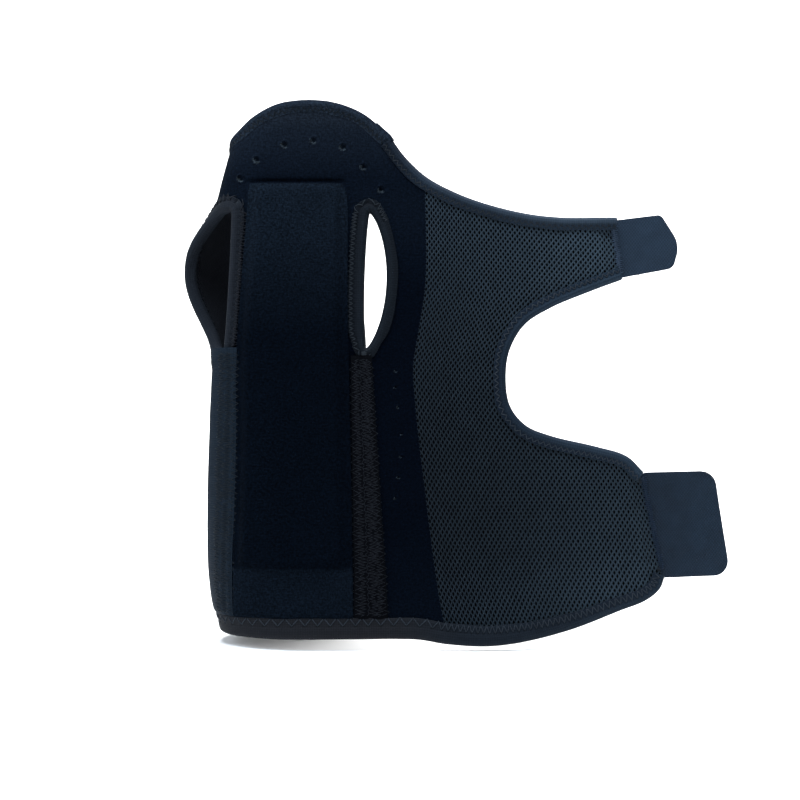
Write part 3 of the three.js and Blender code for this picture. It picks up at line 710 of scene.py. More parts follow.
# %% Vents and crease
FACE = 1.5
VENTS = np.array([
    (-36, 103), (-28.4, 111.4), (-16.3, 118.3), (-2.9, 120.2), (10.6, 117.2), (20.3, 108.1), (28.2, 97.5),
    (35, 13.4), (34.9, 5.8), (36.1, -3.2), (37.8, -15.6), (37.5, -26), (36.3, -35.6), (34.7, -45.2),
])
FLAP_VENTS_ABOVE, SMALL_VENT = 90, 0.45
VENT_SIZES = np.where(VENTS[:, 1] > FLAP_VENTS_ABOVE, 1, SMALL_VENT)
RIM_HEIGHT, RIM_TILT, RIM_UNEVEN, RIM_RADIUS, RIM_WIDTH = 0.42, 0.36, 0.1, 1.7, 0.55
HIGH_SIDE, HIGH_SIDE_VARIES = 2.4, 0.5
CRATER_DEPTH, CRATER_RADIUS = 0.8, 1.15
CREASE_HEIGHT, CREASE_DEPTH, CREASE_WIDTH, CREASE_START, CREASE_END = 101.2, 0.8, 1.1, (-36, -30), (9, 14)
CREASE = np.array([(u, CREASE_HEIGHT) for u in range(-32, 13, 2)])


def vented_face(u, v):
    """The panel's face, with craters whose rims are higher on one side."""
    du, dv = u[:, None] - VENTS[:, 0], v[:, None] - VENTS[:, 1]
    which = np.hypot(du, dv).argmin(1)
    du, dv = (np.take_along_axis(part, which[:, None], 1)[:, 0] for part in (du, dv))
    away, turn = np.hypot(du, dv) / VENT_SIZES[which], np.arctan2(dv, du)
    tilt = np.cos(turn - HIGH_SIDE - HIGH_SIDE_VARIES * np.sin(which * 2.7))
    rim = RIM_HEIGHT + RIM_TILT * tilt + RIM_UNEVEN * np.sin(3 * turn + which)
    raised_rim = rim * np.exp(-(((away - RIM_RADIUS) / RIM_WIDTH) ** 2))
    crater = raised_rim - CRATER_DEPTH * np.exp(-((away / CRATER_RADIUS) ** 4))
    crease = np.exp(-(((v - CREASE_HEIGHT) / CREASE_WIDTH) ** 2))
    crease = crease * ease(u, *CREASE_START) * (1 - ease(u, *CREASE_END))
    return FACE + VENT_SIZES[which] * crater - CREASE_DEPTH * crease


print(len(VENTS), "vents and a crease of", np.ptp(CREASE[:, 0]), "mm")

# %% Panel outline
SHEET_STEP, PANEL_PAST_LAP, WING_PAST_LAP = 1.6, (0.6, 0), (0.2, 0)


def nearest(path, place):
    return int(np.linalg.norm(path - np.array(place), axis=1).argmin())


foot_at, top_at = nearest(hem_edge, LAP_FOOT), nearest(wing_top_edge, LAP_TOP)
panel_outline = np.vstack([
    hem_edge[:foot_at], lap_line + PANEL_PAST_LAP, wing_top_edge[:top_at][::-1], flap_edge[::-1],
    back_edge[1:-1],
])
print("panel outline of", len(panel_outline), "places")

# %% Panel
LIT_SIDE, LIT_FROM, LIT_TO, LIT_TURN = np.array((-0.5, -0.86)), 0.9, 1.9, 0.2
sheet = cut_sheet(panel_outline, [worn_edge, spare_edge], SHEET_STEP, np.vstack([VENTS, CREASE]))
wrap_sheet(sheet, -FACE, vented_face)
flat_map = sheet.loops.layers.uv["pattern"]
face_spots = np.array([face.loops[0][flat_map].uv for face in sheet.faces]) * 10
from_vent = (face_spots[:, None] - VENTS) / VENT_SIZES[:, None]
away = np.linalg.norm(from_vent, axis=2)
# Faces on the lit side of each vent rim get the paler vent finish, a painted highlight.
lit = ((away > LIT_FROM) & (away < LIT_TO) & (from_vent @ LIT_SIDE > LIT_TURN * away)).any(1)
for face, is_lit in zip(sheet.faces, lit):
    if is_lit and face.material_index == 0:
        face.material_index = 2
panel = make_piece(
    "palm_and_back_panel", sheet, [velour, lining, painted_rim_highlight], ["body_panel"], sharp=50
)

# %% [markdown]
# ## Mesh wing
# Spacer mesh is two knitted faces held apart by fine yarns. A plate stands for the inside and the rear face.
# Its front is near-black: it stands for the inner yarns and is painted shade for the shadow between the two
# faces. The front face is a real net: a square grid is turned on its corner, each cell is inset, the two side
# corners of the inset are bevelled, and the opening is removed. The net is then stretched as the cloth is:
# its columns follow the lap line and spread towards the straps.

# %% Wing core
NET_TOP, NET_DEPTH, NET_SUNK, STRAP_PRESSED = 1.6, 0.7, 0.1, -0.5
CORE_INSET, CORE_PRESSED, PRESS_REACH, PRESS_PAST = 0.05, 1.4, 9, 8
wing_outline = np.vstack([
    hem_edge[foot_at:], notch_edge[::-1], wing_top_edge[top_at + 1:][::-1],
    (lap_line + WING_PAST_LAP)[::-1][1:-1],
])
STRAP_ENDS = {
    "upper_strap": (WING_TOP_MARKS[-1], NOTCH_MARKS[0]), "lower_strap": (NOTCH_MARKS[-1], HEM_MARKS[-1]),
}


def pressed(u, v):
    """How far the straps are pressed flat on their tabs: 1 at a cut end, 0 from 9 mm inside it."""
    share = np.zeros(np.shape(u))
    for top, foot in STRAP_ENDS.values():
        length = math.dist(top, foot)
        along_u, along_v = (foot[0] - top[0]) / length, (foot[1] - top[1]) / length
        at = (u - top[0]) * along_u + (v - top[1]) * along_v
        inside_by = (u - top[0]) * along_v - (v - top[1]) * along_u
        beside_end = (at > -PRESS_PAST) & (at < length + PRESS_PAST)
        share = np.maximum(share, np.where(beside_end, 1 - ease(inside_by, 0, PRESS_REACH), 0))
    return share


def net_drop(u, v):
    return (NET_TOP - STRAP_PRESSED) * pressed(u, v)


sheet = cut_sheet(wing_outline, [], SHEET_STEP)
wrap_sheet(
    sheet,
    lambda u, v: CORE_INSET - FACE - CORE_PRESSED * pressed(u, v),
    lambda u, v: NET_TOP - NET_DEPTH + NET_SUNK - net_drop(u, v),
)
wing = make_piece("mesh_wing_core", sheet, [shaded_spacer_core, net_yarn], ["mesh_wing"], sharp=50)

# %% Wing net, as counted stitches
NET_CELLS, NET_SHIFT, STRAND, HOLE_ROUND, HOLE_SQUEEZE = 128, 24, 0.115, 0.1, 0.84
net = bmesh.new()
bmesh.ops.create_grid(net, x_segments=NET_CELLS, y_segments=NET_CELLS, size=NET_CELLS / 2)
bmesh.ops.translate(net, vec=(NET_SHIFT, NET_SHIFT, 0), verts=net.verts)
on_corner = Matrix(((0.5, 0.5, 0), (0.5, -0.5, 0), (0, 0, 1))).to_4x4()
bmesh.ops.transform(net, matrix=on_corner, verts=net.verts)
bmesh.ops.reverse_faces(net, faces=net.faces)
diamonds = net.faces[:]
bmesh.ops.inset_individual(net, faces=diamonds, thickness=STRAND, use_even_offset=True)
side_corners = []
for face in diamonds:
    centre = face.calc_center_median()
    side_corners += [v for v in face.verts if abs(v.co.x - centre.x) > abs(v.co.y - centre.y)]
bmesh.ops.bevel(
    net, geom=side_corners, offset=HOLE_ROUND, offset_type="OFFSET", affect="VERTICES", segments=1,
    profile=0.5, material=-1,
)
rim_mark = net.verts.layers.int.new("rim")
openings = [face for face in net.faces if len(face.verts) == 6]
print("the net has", len(openings), "openings before it is cut to shape")

# %% Wing net, stretched and cut
ROW_PITCH, ROW_CROWDING, ROW_REACH, ROW_SLANT, SLANT_GROWS = 3.15, 1.6, 8, 0.085, (-50, 40)
COLUMN_PITCH, COLUMN_SPREAD, SPREAD_AT, SPREAD_REACH = 2.2, 1.35, 17, 9
HOLE_DENT, CUT_INSET = 0.28, 0.1
for face in openings:
    centre = face.calc_center_median()
    for vert in face.verts:
        vert[rim_mark] = 1
        vert.co.x = centre.x + HOLE_SQUEEZE * (vert.co.x - centre.x)
bmesh.ops.delete(net, geom=openings, context="FACES")


def knit_places(across, up):
    """Flat places of counted stitches: columns follow the lap line, and both counts spread unevenly."""
    height = ROW_PITCH * up - ROW_CROWDING * np.log(np.cosh(up / ROW_REACH))
    at_lap = math.log(math.cosh(SPREAD_AT / SPREAD_REACH))
    widening = np.log(np.cosh((across - SPREAD_AT) / SPREAD_REACH)) - at_lap
    spread = COLUMN_PITCH * across + COLUMN_SPREAD * widening
    lap_u = np.interp(height, lap_line[:, 1], lap_line[:, 0])
    return lap_u + spread, height - ROW_SLANT * spread * ease(height, *SLANT_GROWS)


counted = places_of(net)
net_u, net_v = knit_places(counted[:, 0], counted[:, 1])
put(net.verts, np.column_stack([net_u, net_v, np.full(len(counted), NET_TOP - NET_DEPTH)]))
thicken(net, NET_DEPTH)
for vert in net.verts:
    if vert[rim_mark] and vert.co.z > NET_TOP - NET_DEPTH / 2:
        vert.co.z -= HOLE_DENT
net = die_cut(net, wing_outline + CUT_INSET * into_cloth(wing_outline, True))
flat = places_of(net)
mark_pattern(net, flat)
put(net.verts, wrap(flat[:, 0], flat[:, 1], flat[:, 2] - net_drop(flat[:, 0], flat[:, 1])))
wing_net = make_piece("mesh_wing_net", net, [net_yarn], sharp=55)

# %% [markdown]
# ## Splint pocket
# A velour panel is sewn on the palm with a flat stay inside it. The pocket starts as a flat closed bag that
# is a little swollen, and a short cloth simulation with pressure then tightens it over the stay, with its
# seams pinned. The simulation runs on the flat pattern in centimetres, where the solver's steps suit the size
# of the cloth.

# %% Pocket pattern
POCKET_SIDES = np.array([  # minus height, left edge, right edge
    (-100, -31, 10.4), (-96.5, -31.8, 12), (-92, -32, 12.6), (-70, -33.6, 12.8), (-45, -35.6, 12.9),
    (-20, -37.3, 13.3), (20, -37.2, 14.2), (68, -38.4, 15.1), (99.4, -39.5, 15.4),
])
POCKET_TOP, STAY_FOOT, SEWN_FOOT, HEM_DIVE = 100, -77.5, -101.8, 2.6
POCKET_BASE, POCKET_CLOTH, STAY_SWELL = 1.9, 1.0, 2.0
POCKET_DIVE, POCKET_BACK_DIVE = 1.3, 0.6
POCKET_COLUMNS, POCKET_ROWS = 60, 230
STAY_LEFT, STAY_RIGHT, STAY_FLAT, STAY_CROWN = (0.03, 0.12), (0.9, 0.965), 0.86, 0.56
BAND_LIFT, BAND_HEIGHT, STAY_STEP, TOP_EASED, TOP_ROUND = 0.22, 16, 1.8, 0.45, 2.2


def stay_shape(across, v):
    """How much of the stay's thickness lifts the pocket, from 0 at its seams to about 1."""
    crown = STAY_FLAT + STAY_CROWN * across * (1 - across)
    sideways = ease(across, *STAY_LEFT) * (1 - ease(across, *STAY_RIGHT)) * crown
    band = BAND_LIFT * ease(v, STAY_FOOT - BAND_HEIGHT, STAY_FOOT)
    lengthways = band + (1 - BAND_LIFT) * ease(v, STAY_FOOT, STAY_FOOT + STAY_STEP)
    return sideways * lengthways * (1 - TOP_EASED * ease(v, POCKET_TOP - TOP_ROUND, POCKET_TOP))


def under_hem(v):
    """How far a piece dives where its foot goes under the hem's tape."""
    return 1 - ease(v, SEWN_FOOT, SEWN_FOOT + HEM_DIVE)


bag = bmesh.new()
bmesh.ops.create_grid(bag, x_segments=POCKET_COLUMNS, y_segments=POCKET_ROWS, size=0.5)
thicken(bag, 1)
grid = places_of(bag)
across, is_front = grid[:, 0] + 0.5, grid[:, 2] > 0.5
pocket_v = SEWN_FOOT + (POCKET_TOP - SEWN_FOOT) * (grid[:, 1] + 0.5)
pocket_left, pocket_right = smooth_table(POCKET_SIDES, -pocket_v).T
lifted = stay_shape(across, pocket_v)
bag_level = np.where(is_front, POCKET_BASE + POCKET_CLOTH + STAY_SWELL * lifted, POCKET_BASE)
bag_level = bag_level - np.where(is_front, POCKET_DIVE, POCKET_BACK_DIVE) * under_hem(pocket_v)
bag_flat = np.column_stack([pocket_left + (pocket_right - pocket_left) * across, pocket_v, bag_level])
mark_pattern(bag, bag_flat)
put(bag.verts, bag_flat)
print("the bag is", np.round(np.ptp(bag_flat, axis=0), 1), "mm")

# %% Tighten the pocket over its stay
SIM_FRAMES, SIM_QUALITY, PRESSURE, STIFFNESS, SWELL_CAP = 20, 5, 4, 0.5, 0.7
SEAM_LIFT, TOP_SEAM = 0.25, 1


def tightened(bm, flat, pinned):
    """The flat places after a short cloth simulation in centimetres, each moved by no more than the cap."""
    mesh = bpy.data.meshes.new("bag")
    bm.to_mesh(mesh)
    mesh.transform(Matrix.Scale(0.1, 4))
    bag_object = bpy.data.objects.new("bag", mesh)
    bpy.context.scene.collection.objects.link(bag_object)
    bag_object.vertex_groups.new(name="sewn").add([int(i) for i in np.flatnonzero(pinned)], 1, "REPLACE")
    cloth = bag_object.modifiers.new("cloth", "CLOTH")
    cloth.settings.vertex_group_mass = "sewn"
    cloth.settings.use_pressure = True
    cloth.settings.uniform_pressure_force = PRESSURE
    cloth.settings.effector_weights.gravity = 0
    cloth.settings.quality = SIM_QUALITY
    cloth.settings.bending_stiffness = STIFFNESS
    cloth.point_cache.frame_end = SIM_FRAMES
    for number in range(1, SIM_FRAMES + 1):
        bpy.context.scene.frame_set(number)
    shaped = bag_object.evaluated_get(bpy.context.evaluated_depsgraph_get()).to_mesh()
    moved = np.array([vert.co[:] for vert in shaped.vertices]) * 10 - flat
    bpy.data.objects.remove(bag_object)
    bpy.context.scene.frame_set(1)
    far = np.linalg.norm(moved, axis=1, keepdims=True)
    print("the pocket moved by up to", round(float(far.max()), 2), "mm before its cap")
    return flat + moved * np.minimum(1, SWELL_CAP / np.maximum(far, 1e-9))


on_seam = (lifted < SEAM_LIFT) | (pocket_v > POCKET_TOP - TOP_SEAM)
bag_flat = tightened(bag, bag_flat, ~is_front | on_seam)
put(bag.verts, wrap(*bag_flat.T))
pocket = make_piece(
    "sewn_splint_pocket", bag, [pocket_velour], ["splint_pocket"], sharp=60
)

# %% [markdown]
# ## Folded binding
# Every edge is bound with a soft tape, folded over it and sewn through. The tape could be swept as a section
# along the edge. Here it is made as a tailor does: a flat strip is folded round the edge, so that the weave's
# UV map is the flat tape itself. The needle pulls a small dent into the tape at each end of a zigzag stitch.

# %% Runs of tape
ROLL_CENTRE, ROLL_HEIGHT, LIP_HEIGHT, FLUSH, TAPE = 1.6, 2.85, 2.3, 1.75, 0.7
FOLD_SHARE, LIP_FALLS_BY, TAPE_STEP, TAPE_PARTS, OFF_LIP = 0.4, 0.8, 0.55, 28, 0.1


def steady(value):
    return lambda place: np.full(len(place), float(value))


def lay_run(path, period, closed=False):
    """An edge as even places, with the direction into the cloth and the count of stitches at each."""
    path = np.vstack([path, path[:1]]) if closed else np.asarray(path)
    reach = np.concatenate([[0], np.cumsum(np.linalg.norm(np.diff(path, axis=0), axis=1))])
    at = np.linspace(0, reach[-1], max(2, round(reach[-1] / TAPE_STEP)) + 1)
    places = np.column_stack([np.interp(at, reach, path[:, k]) for k in (0, 1)])
    inwards = into_cloth(places[:-1], True) if closed else into_cloth(places, False)
    inwards = np.vstack([inwards, inwards[:1]]) if closed else inwards
    count = np.concatenate([[0], np.cumsum(np.diff(at) / period(places[1:]))])
    count = count * round(count[-1]) / count[-1]
    return {"at": at, "places": places, "inwards": inwards, "count": count, "closed": closed}


def on_run(run, at, depth):
    """Flat places at distances along a run and depths into its cloth."""
    place, inwards = (
        np.column_stack([np.interp(at, run["at"], run[key][:, k]) for k in (0, 1)])
        for key in ("places", "inwards")
    )
    return place + inwards * np.broadcast_to(depth, len(at))[:, None]


def lip_level(depth, lip, height):
    """The level of what a stitch lies on: the tape's lip, or the cloth beyond it."""
    share = np.clip((depth - ROLL_CENTRE) / (lip - ROLL_CENTRE), 0, 1)
    on_lip = ROLL_HEIGHT + (height - ROLL_HEIGHT) * ease(share, 0, LIP_FALLS_BY)
    return np.where(depth > lip, FACE + OFF_LIP, on_lip)


def roll(spot, lip, height):
    """Depth and level of the tape's outer side, from 0 at the fold to 1 at the lip's edge."""
    turn = np.minimum(spot / FOLD_SHARE, 1) * math.pi / 2
    share = np.clip((spot - FOLD_SHARE) / (1 - FOLD_SHARE), 0, 1)
    folded = spot < FOLD_SHARE
    folded_depth = ROLL_CENTRE - (ROLL_CENTRE + FOLD) * np.cos(turn)
    depth = np.where(folded, folded_depth, ROLL_CENTRE + (lip - ROLL_CENTRE) * share)
    level = np.where(folded, ROLL_HEIGHT * np.sin(turn), lip_level(np.minimum(depth, lip), lip, height))
    return depth, level


# %% Lips and stitches of the hem and the spare opening
HEM_LIP, HEM_END_LIP, HEM_STITCH, HEM_SHORTER, HEM_SHORTENS = 9, 5.5, 5.8, 3, (44, 62)
SPARE_LIP, SPARE_NARROWER, SPARE_NARROWS, SPARE_FOOT_LESS, SPARE_FOOT = 6.4, 2, (21.5, 26), 0.3, (24, 33)
SPARE_STITCH, SPARE_SHORTER, SPARE_SHORTENS, SEWN_LEFT_OF, SEWN_ABOVE = 2.3, 0.9, (74, 84), 22.4, 81


def hem_lip(place):
    return HEM_LIP + (HEM_END_LIP - HEM_LIP) * ease(place[:, 0], LAP_FOOT[0], HEM_MARKS[-1][0])


def hem_period(place):
    return HEM_STITCH - HEM_SHORTER * ease(place[:, 0], *HEM_SHORTENS)


def spare_lip(place):
    """Wide beside the pocket, narrow on the free side and at the foot."""
    lip = SPARE_LIP - SPARE_NARROWER * ease(place[:, 0], *SPARE_NARROWS)
    return lip * (1 - SPARE_FOOT_LESS * (1 - ease(place[:, 1], *SPARE_FOOT)))


def spare_period(place):
    return SPARE_STITCH - SPARE_SHORTER * ease(place[:, 1], *SPARE_SHORTENS)


def spare_sewn(place):
    """The spare opening shows its stitches beside the pocket and over its top, not on the free side."""
    return (place[:, 0] < SEWN_LEFT_OF) | (place[:, 1] > SEWN_ABOVE)


def all_round(place):
    return np.ones(len(place), bool)


# %% Edges to bind
BACK_FOOT, BACK_TOP = -99.6, 89.6
back_span = back_edge[(back_edge[:, 1] < BACK_TOP) & (back_edge[:, 1] > BACK_FOOT)]
wing_top_span = np.vstack([wing_top_edge[2:], [(137.2, 84.8), (138.4, 84.6)]])
BINDINGS = {  # the stitches' ends are depths from the lip's edge
    "worn_thumb_binding": {
        "run": lay_run(worn_edge, steady(2.7), True), "lip": steady(6), "ends": (1.8, -1.6),
        "tape": thumb_binding, "thread": seam_thread, "node": "left_thumb_binding"},
    "spare_thumb_binding": {
        "run": lay_run(spare_edge, spare_period, True), "lip": spare_lip, "ends": (0.6, -2.2),
        "tape": spare_tape, "thread": mid_thread, "node": "right_thumb_binding", "sewn": spare_sewn},
    "flap_edge_binding": {
        "run": lay_run(flap_edge[::-1], steady(2.8)), "lip": steady(5), "ends": (-0.4, -2.4),
        "tape": edge_velour, "thread": tape_thread, "node": "flap_binding", "height": FLUSH},
    "back_edge_binding": {
        "run": lay_run(back_span, steady(4)), "lip": steady(5), "ends": (0.2, -2.6),
        "tape": binding_tape, "thread": dark_thread, "node": "back_binding"},
    "hem_edge_binding": {
        "run": lay_run(hem_edge, hem_period), "lip": hem_lip, "ends": (0.2, -3.4),
        "tape": hem_tape, "thread": pale_thread, "node": "hem_binding"},
    "wing_top_edge_binding": {
        "run": lay_run(wing_top_span[::-1], steady(2.8)), "lip": steady(5), "ends": (-0.4, -2.2),
        "tape": wing_tape, "thread": mid_thread, "node": "wing_top_binding"},
    "notch_edge_binding": {
        "run": lay_run(notch_edge[::-1], steady(2.8)), "lip": steady(5), "ends": (-0.4, -2.2),
        "tape": notch_tape, "thread": pale_thread, "node": "notch_binding"},
}
print("binding of", round(sum(edge["run"]["at"][-1] for edge in BINDINGS.values())), "mm in all")

# %% Fold a tape over each edge
FOLD_TAKES, DENTS, DENT_REACH, DENT_INSIDE = 3, (0.3, 0.7), 0.55, -0.4
GROOVE, GROOVE_REACH, WANDER, WANDER_LENGTH, WANDER_FROM = 0.2, 0.7, 0.15, 3.7, 0.6
TAPE_MERGE = 0.01


def fold_tape(name, edge):
    """A flat strip folded over an edge, dented where the needle went in."""
    run, height = edge["run"], edge.get("height", LIP_HEIGHT)
    bm = bmesh.new()
    bmesh.ops.create_grid(bm, x_segments=len(run["at"]) - 1, y_segments=TAPE_PARTS, size=0.5)
    grid = places_of(bm)
    at, spot = (grid[:, 0] + 0.5) * run["at"][-1], 2 * grid[:, 1]
    lip = edge["lip"](on_run(run, at, 0))
    mark_pattern(bm, np.column_stack([at, spot * (lip + FOLD_TAKES)]))
    depth, level = roll(np.abs(spot), lip, height)
    count = np.interp(at, run["at"], run["count"])
    period = np.interp(at, run["at"], np.gradient(run["at"], run["count"]))
    sewn = edge.get("sewn", all_round)(on_run(run, at, 0))
    for shift, end, dent in zip((0, 0.5), edge["ends"], DENTS):
        beside = ((count + shift + 0.5) % 1 - 0.5) * period
        from_end = depth - lip - min(end, DENT_INSIDE)
        level = level - sewn * dent * np.exp(-((beside / DENT_REACH) ** 2) - (from_end / DENT_REACH) ** 2)
    level = level - GROOVE * np.exp(-(((depth - lip - edge["ends"][1]) / GROOVE_REACH) ** 2))
    depth = depth + WANDER * np.sin(at / WANDER_LENGTH) * ease(np.abs(spot), WANDER_FROM, 1)
    place = on_run(run, at, depth)
    put(bm.verts, wrap(place[:, 0], place[:, 1], np.sign(spot) * level))
    if run["closed"]:
        bmesh.ops.remove_doubles(bm, verts=bm.verts, dist=TAPE_MERGE * MM)
    nodes = [edge["node"]] if "node" in edge else []
    tape = make_piece(name, bm, [edge["tape"]], nodes, thickness=TAPE)


for name, edge in BINDINGS.items():
    fold_tape(name, edge)

# %% The flap binding's folded end
END_PROUD = 0.6
end_path = np.vstack([flap_edge[-9:], wing_top_edge[1:4]])[::-1]
end_path = end_path - END_PROUD * into_cloth(end_path, False)
fold_tape("flap_binding_end", {
    "run": lay_run(end_path, steady(3)), "lip": steady(4.4), "ends": (-0.6, -2.2), "tape": edge_velour,
    "height": FLUSH,
})

# %% [markdown]
# ## Seam tapes
# Two flat tapes cover the seams from the thumb openings to the hem. The one on the thumb side is a smooth
# strip that runs round the side. The other is covered by dense flat-lock stitches. They are cut like the
# panel, and their relief puffs up between the stitch lines.

# %% Seam tapes
TAPE_LOW, TAPE_HIGH, PUFF, PUFF_REACH, TAPE_GRID = 1.6, 2.6, 0.45, 1.4, 0.9
TAPE_DIVE, TAPE_BACK_DIVE, RING_FOOT = 1.1, 0.5, (14, 18)
SEAM_TAPES = {
    "thumb_side_seam_tape": {
        "guide": [(-40.2, SEWN_FOOT), (-39.4, -74), (-37.8, -46), (-36.8, 24.4)], "side": -1,
        "width": 23, "top_width": 17.6, "lines": (0.02, 0.2), "over_ring": 0.75,
        "node": "left_seam_tape", "finish": thumb_tape, "thread": tape_thread},
    "spare_side_seam_tape": {
        "guide": [(16, SEWN_FOOT), (15.8, -74), (14.9, -23), (14.4, 20.5)], "side": 1,
        "width": 15.6, "top_width": 9.5, "lines": (0.03, 0.5, 0.97), "over_ring": 0,
        "node": "right_seam_tape", "finish": seam_cloth, "thread": seam_thread},
}


def tape_place(tape, share, up):
    """A flat place on a seam tape: share across it, and up from its foot to its top."""
    guide = smooth_curve(tape["guide"])
    reach = np.linspace(0, 1, len(guide))
    start = np.column_stack([np.interp(up, reach, guide[:, k]) for k in (0, 1)])
    width = tape["width"] + (tape["top_width"] - tape["width"]) * up
    return start + np.column_stack([tape["side"] * share * width, np.zeros(len(start))])


def tape_level(tape, share, v):
    """The level of a seam tape's face: puffed between its lines, and lifted over the foot of the ring."""
    from_line = np.abs(share[:, None] - np.array(tape["lines"])).min(1) * tape["width"]
    inside_edges = ease(share, -0.02, 0.06) * (1 - ease(share, 0.94, 1.02))
    puffed = PUFF * (1 - np.exp(-((from_line / PUFF_REACH) ** 2))) * inside_edges
    return TAPE_HIGH + puffed + tape["over_ring"] * ease(v, *RING_FOOT) - TAPE_DIVE * under_hem(v)


def seam_tape(name, tape):
    up = np.linspace(0, 1, 120)
    near, far = tape_place(tape, 0, up), tape_place(tape, 1, up)
    outline = np.vstack([near, far[::-1]])
    outline = outline if tape["side"] < 0 else outline[::-1]

    def face(u, v):
        edges = [np.interp(v, line[:, 1], line[:, 0]) for line in (near, far)]
        return tape_level(tape, (u - edges[0]) / (edges[1] - edges[0]), v)

    bm = cut_sheet(outline, [], TAPE_GRID)
    wrap_sheet(bm, lambda u, v: TAPE_LOW - TAPE_BACK_DIVE * under_hem(v), face)
    made = make_piece(name, bm, [tape["finish"]] * 2, [tape["node"]], sharp=60)


for name, tape in SEAM_TAPES.items():
    seam_tape(name, tape)

# %% [markdown]
# ## Hook tabs
# Each strap ends in a tab of hook tape, sewn behind it. Its smooth woven back faces the viewer and its hooks
# face away. One small hook is modelled as a bent strip, and copies of it are set in rows on the far side.

# %% Tab outlines
TAB_FRONT, TAB_THICKNESS, TAB_GRID = -3.0, 1.4, 1.5
UPPER_TAB = [  # u, v, corner radius
    (129, 58.5, 0), (141.5, 57.6, 0), (167.4, 62.6, 4.5), (170.6, 74, 12), (161.4, 88, 3), (139, 84.8, 0),
    (127, 79.5, 0),
]
LOWER_TAB = [
    (149, -84, 0), (165, -84.5, 0), (196.4, -84.2, 7), (188.8, -34, 8), (155, -34.4, 0), (142, -38, 0),
]


def rounded(corners, steps=10):
    """An outline whose corners are rounded by arcs."""
    points = [np.array(corner[:2], float) for corner in corners]
    outline = []
    for k, (corner, (_, _, radius)) in enumerate(zip(points, corners)):
        if not radius:
            outline.append(corner)
            continue
        back, ahead = (points[k - 1] - corner, points[(k + 1) % len(points)] - corner)
        back, ahead = back / np.linalg.norm(back), ahead / np.linalg.norm(ahead)
        half = math.acos(float(back @ ahead)) / 2
        centre = corner + (back + ahead) / np.linalg.norm(back + ahead) * radius / math.sin(half)
        start = corner + back * radius / math.tan(half) - centre
        for turn in np.linspace(0, math.pi - 2 * half, steps + 1):
            cos, sin = math.cos(turn), math.sin(turn)
            outline.append(centre + (start[0] * cos - start[1] * sin, start[0] * sin + start[1] * cos))
    return np.array(outline)


def tab_piece(name, outline, node_name, finish):
    bm = cut_sheet(outline, [], TAB_GRID)
    wrap_sheet(bm, TAB_FRONT - TAB_THICKNESS, TAB_FRONT)
    tab = make_piece(name, bm, [finish, finish], [node_name], sharp=50)


upper_outline, lower_outline = rounded(UPPER_TAB), rounded(LOWER_TAB)
tab_piece("upper_tab", upper_outline, "upper_hook_tab", hook_tape)
tab_piece("lower_tab", lower_outline, "lower_hook_tab", shaded_lower_hook_tape)

# %% Hooks behind the tabs
HOOK_PITCH, HOOK_HEIGHT, HOOK_WIDTH, HOOK_THICKNESS, HOOK_SUNK = 1.7, 1.2, 0.34, 0.16, 0.1
STEM_SHARE, STEM_RISE, HOOK_ARCH, HOOK_LEAN, HOOK_TURN = 0.35, 1.6, 0.4, 0.32, math.pi * 1.15
FIELD_MARGIN, FIELD_RIM, UPPER_FIELD_FROM, LOWER_FIELD_FROM = 2, 1.6, 145, 166


def inside(points, loop):
    """Which points lie inside a closed outline."""
    u, v = points[:, :1], points[:, 1:2]
    (au, av), (bu, bv) = loop.T, np.roll(loop, -1, 0).T
    crosses = (av > v) != (bv > v)
    reach = au + (bu - au) * (v - av) / np.where(av == bv, 1, bv - av)
    return (crosses & (u < reach)).sum(1) % 2 == 1


def hook_field(name, outline, from_u):
    """Rows of small bent hooks on a tab's far side, in one piece."""
    low, high = outline.min(0) + FIELD_MARGIN, outline.max(0) - FIELD_MARGIN
    columns, rows = np.floor((high - low) / HOOK_PITCH).astype(int)
    counts = np.stack(np.meshgrid(np.arange(columns), np.arange(rows)), -1).reshape(-1, 2)
    spots = counts * HOOK_PITCH + low
    rim = np.linalg.norm(spots[:, None] - outline, axis=2).min(1)
    spots = spots[inside(spots, outline) & (rim > FIELD_RIM) & (spots[:, 0] > from_u)]
    bm = bmesh.new()
    for count, (u, v) in enumerate(spots):
        strip = bmesh.ops.create_grid(bm, x_segments=5, y_segments=1, size=0.5)["verts"]
        share = np.array([vert.co[:2] for vert in strip]) + 0.5
        turn = HOOK_TURN * np.maximum(share[:, 0] - STEM_SHARE, 0) / (1 - STEM_SHARE)
        stem = np.minimum(share[:, 0], STEM_SHARE) * STEM_RISE
        height = HOOK_HEIGHT * (stem + HOOK_ARCH * np.sin(turn))
        lean = (1 if count % 2 else -1) * HOOK_LEAN * (1 - np.cos(turn))
        width = HOOK_WIDTH * (share[:, 1] - 0.5) * (1.5 - share[:, 0])
        put(strip, wrap(u + lean, v + width, TAB_FRONT - TAB_THICKNESS - height + HOOK_SUNK))
    mark_pattern(bm, places_of(bm) / MM)
    print(name, "has", len(spots), "hooks")
    make_piece(name, bm, [hook_tape], thickness=HOOK_THICKNESS)


hook_field("upper_tab_hooks", upper_outline, UPPER_FIELD_FROM)
hook_field("lower_tab_hooks", lower_outline, LOWER_FIELD_FROM)

# %% [markdown]
# ## Stitches
# Thread catches light as a raised line, so each row of stitches is a real tube and not drawn in the material.
# A flat grid is rolled up round the thread's path. A zigzag row goes down at each needle hole and arches
# between them.

# %% A thread from flat places
THREAD, THREAD_SIDES, LEG_POINTS, THREAD_MERGE = 0.2, 5, 6, 0.004


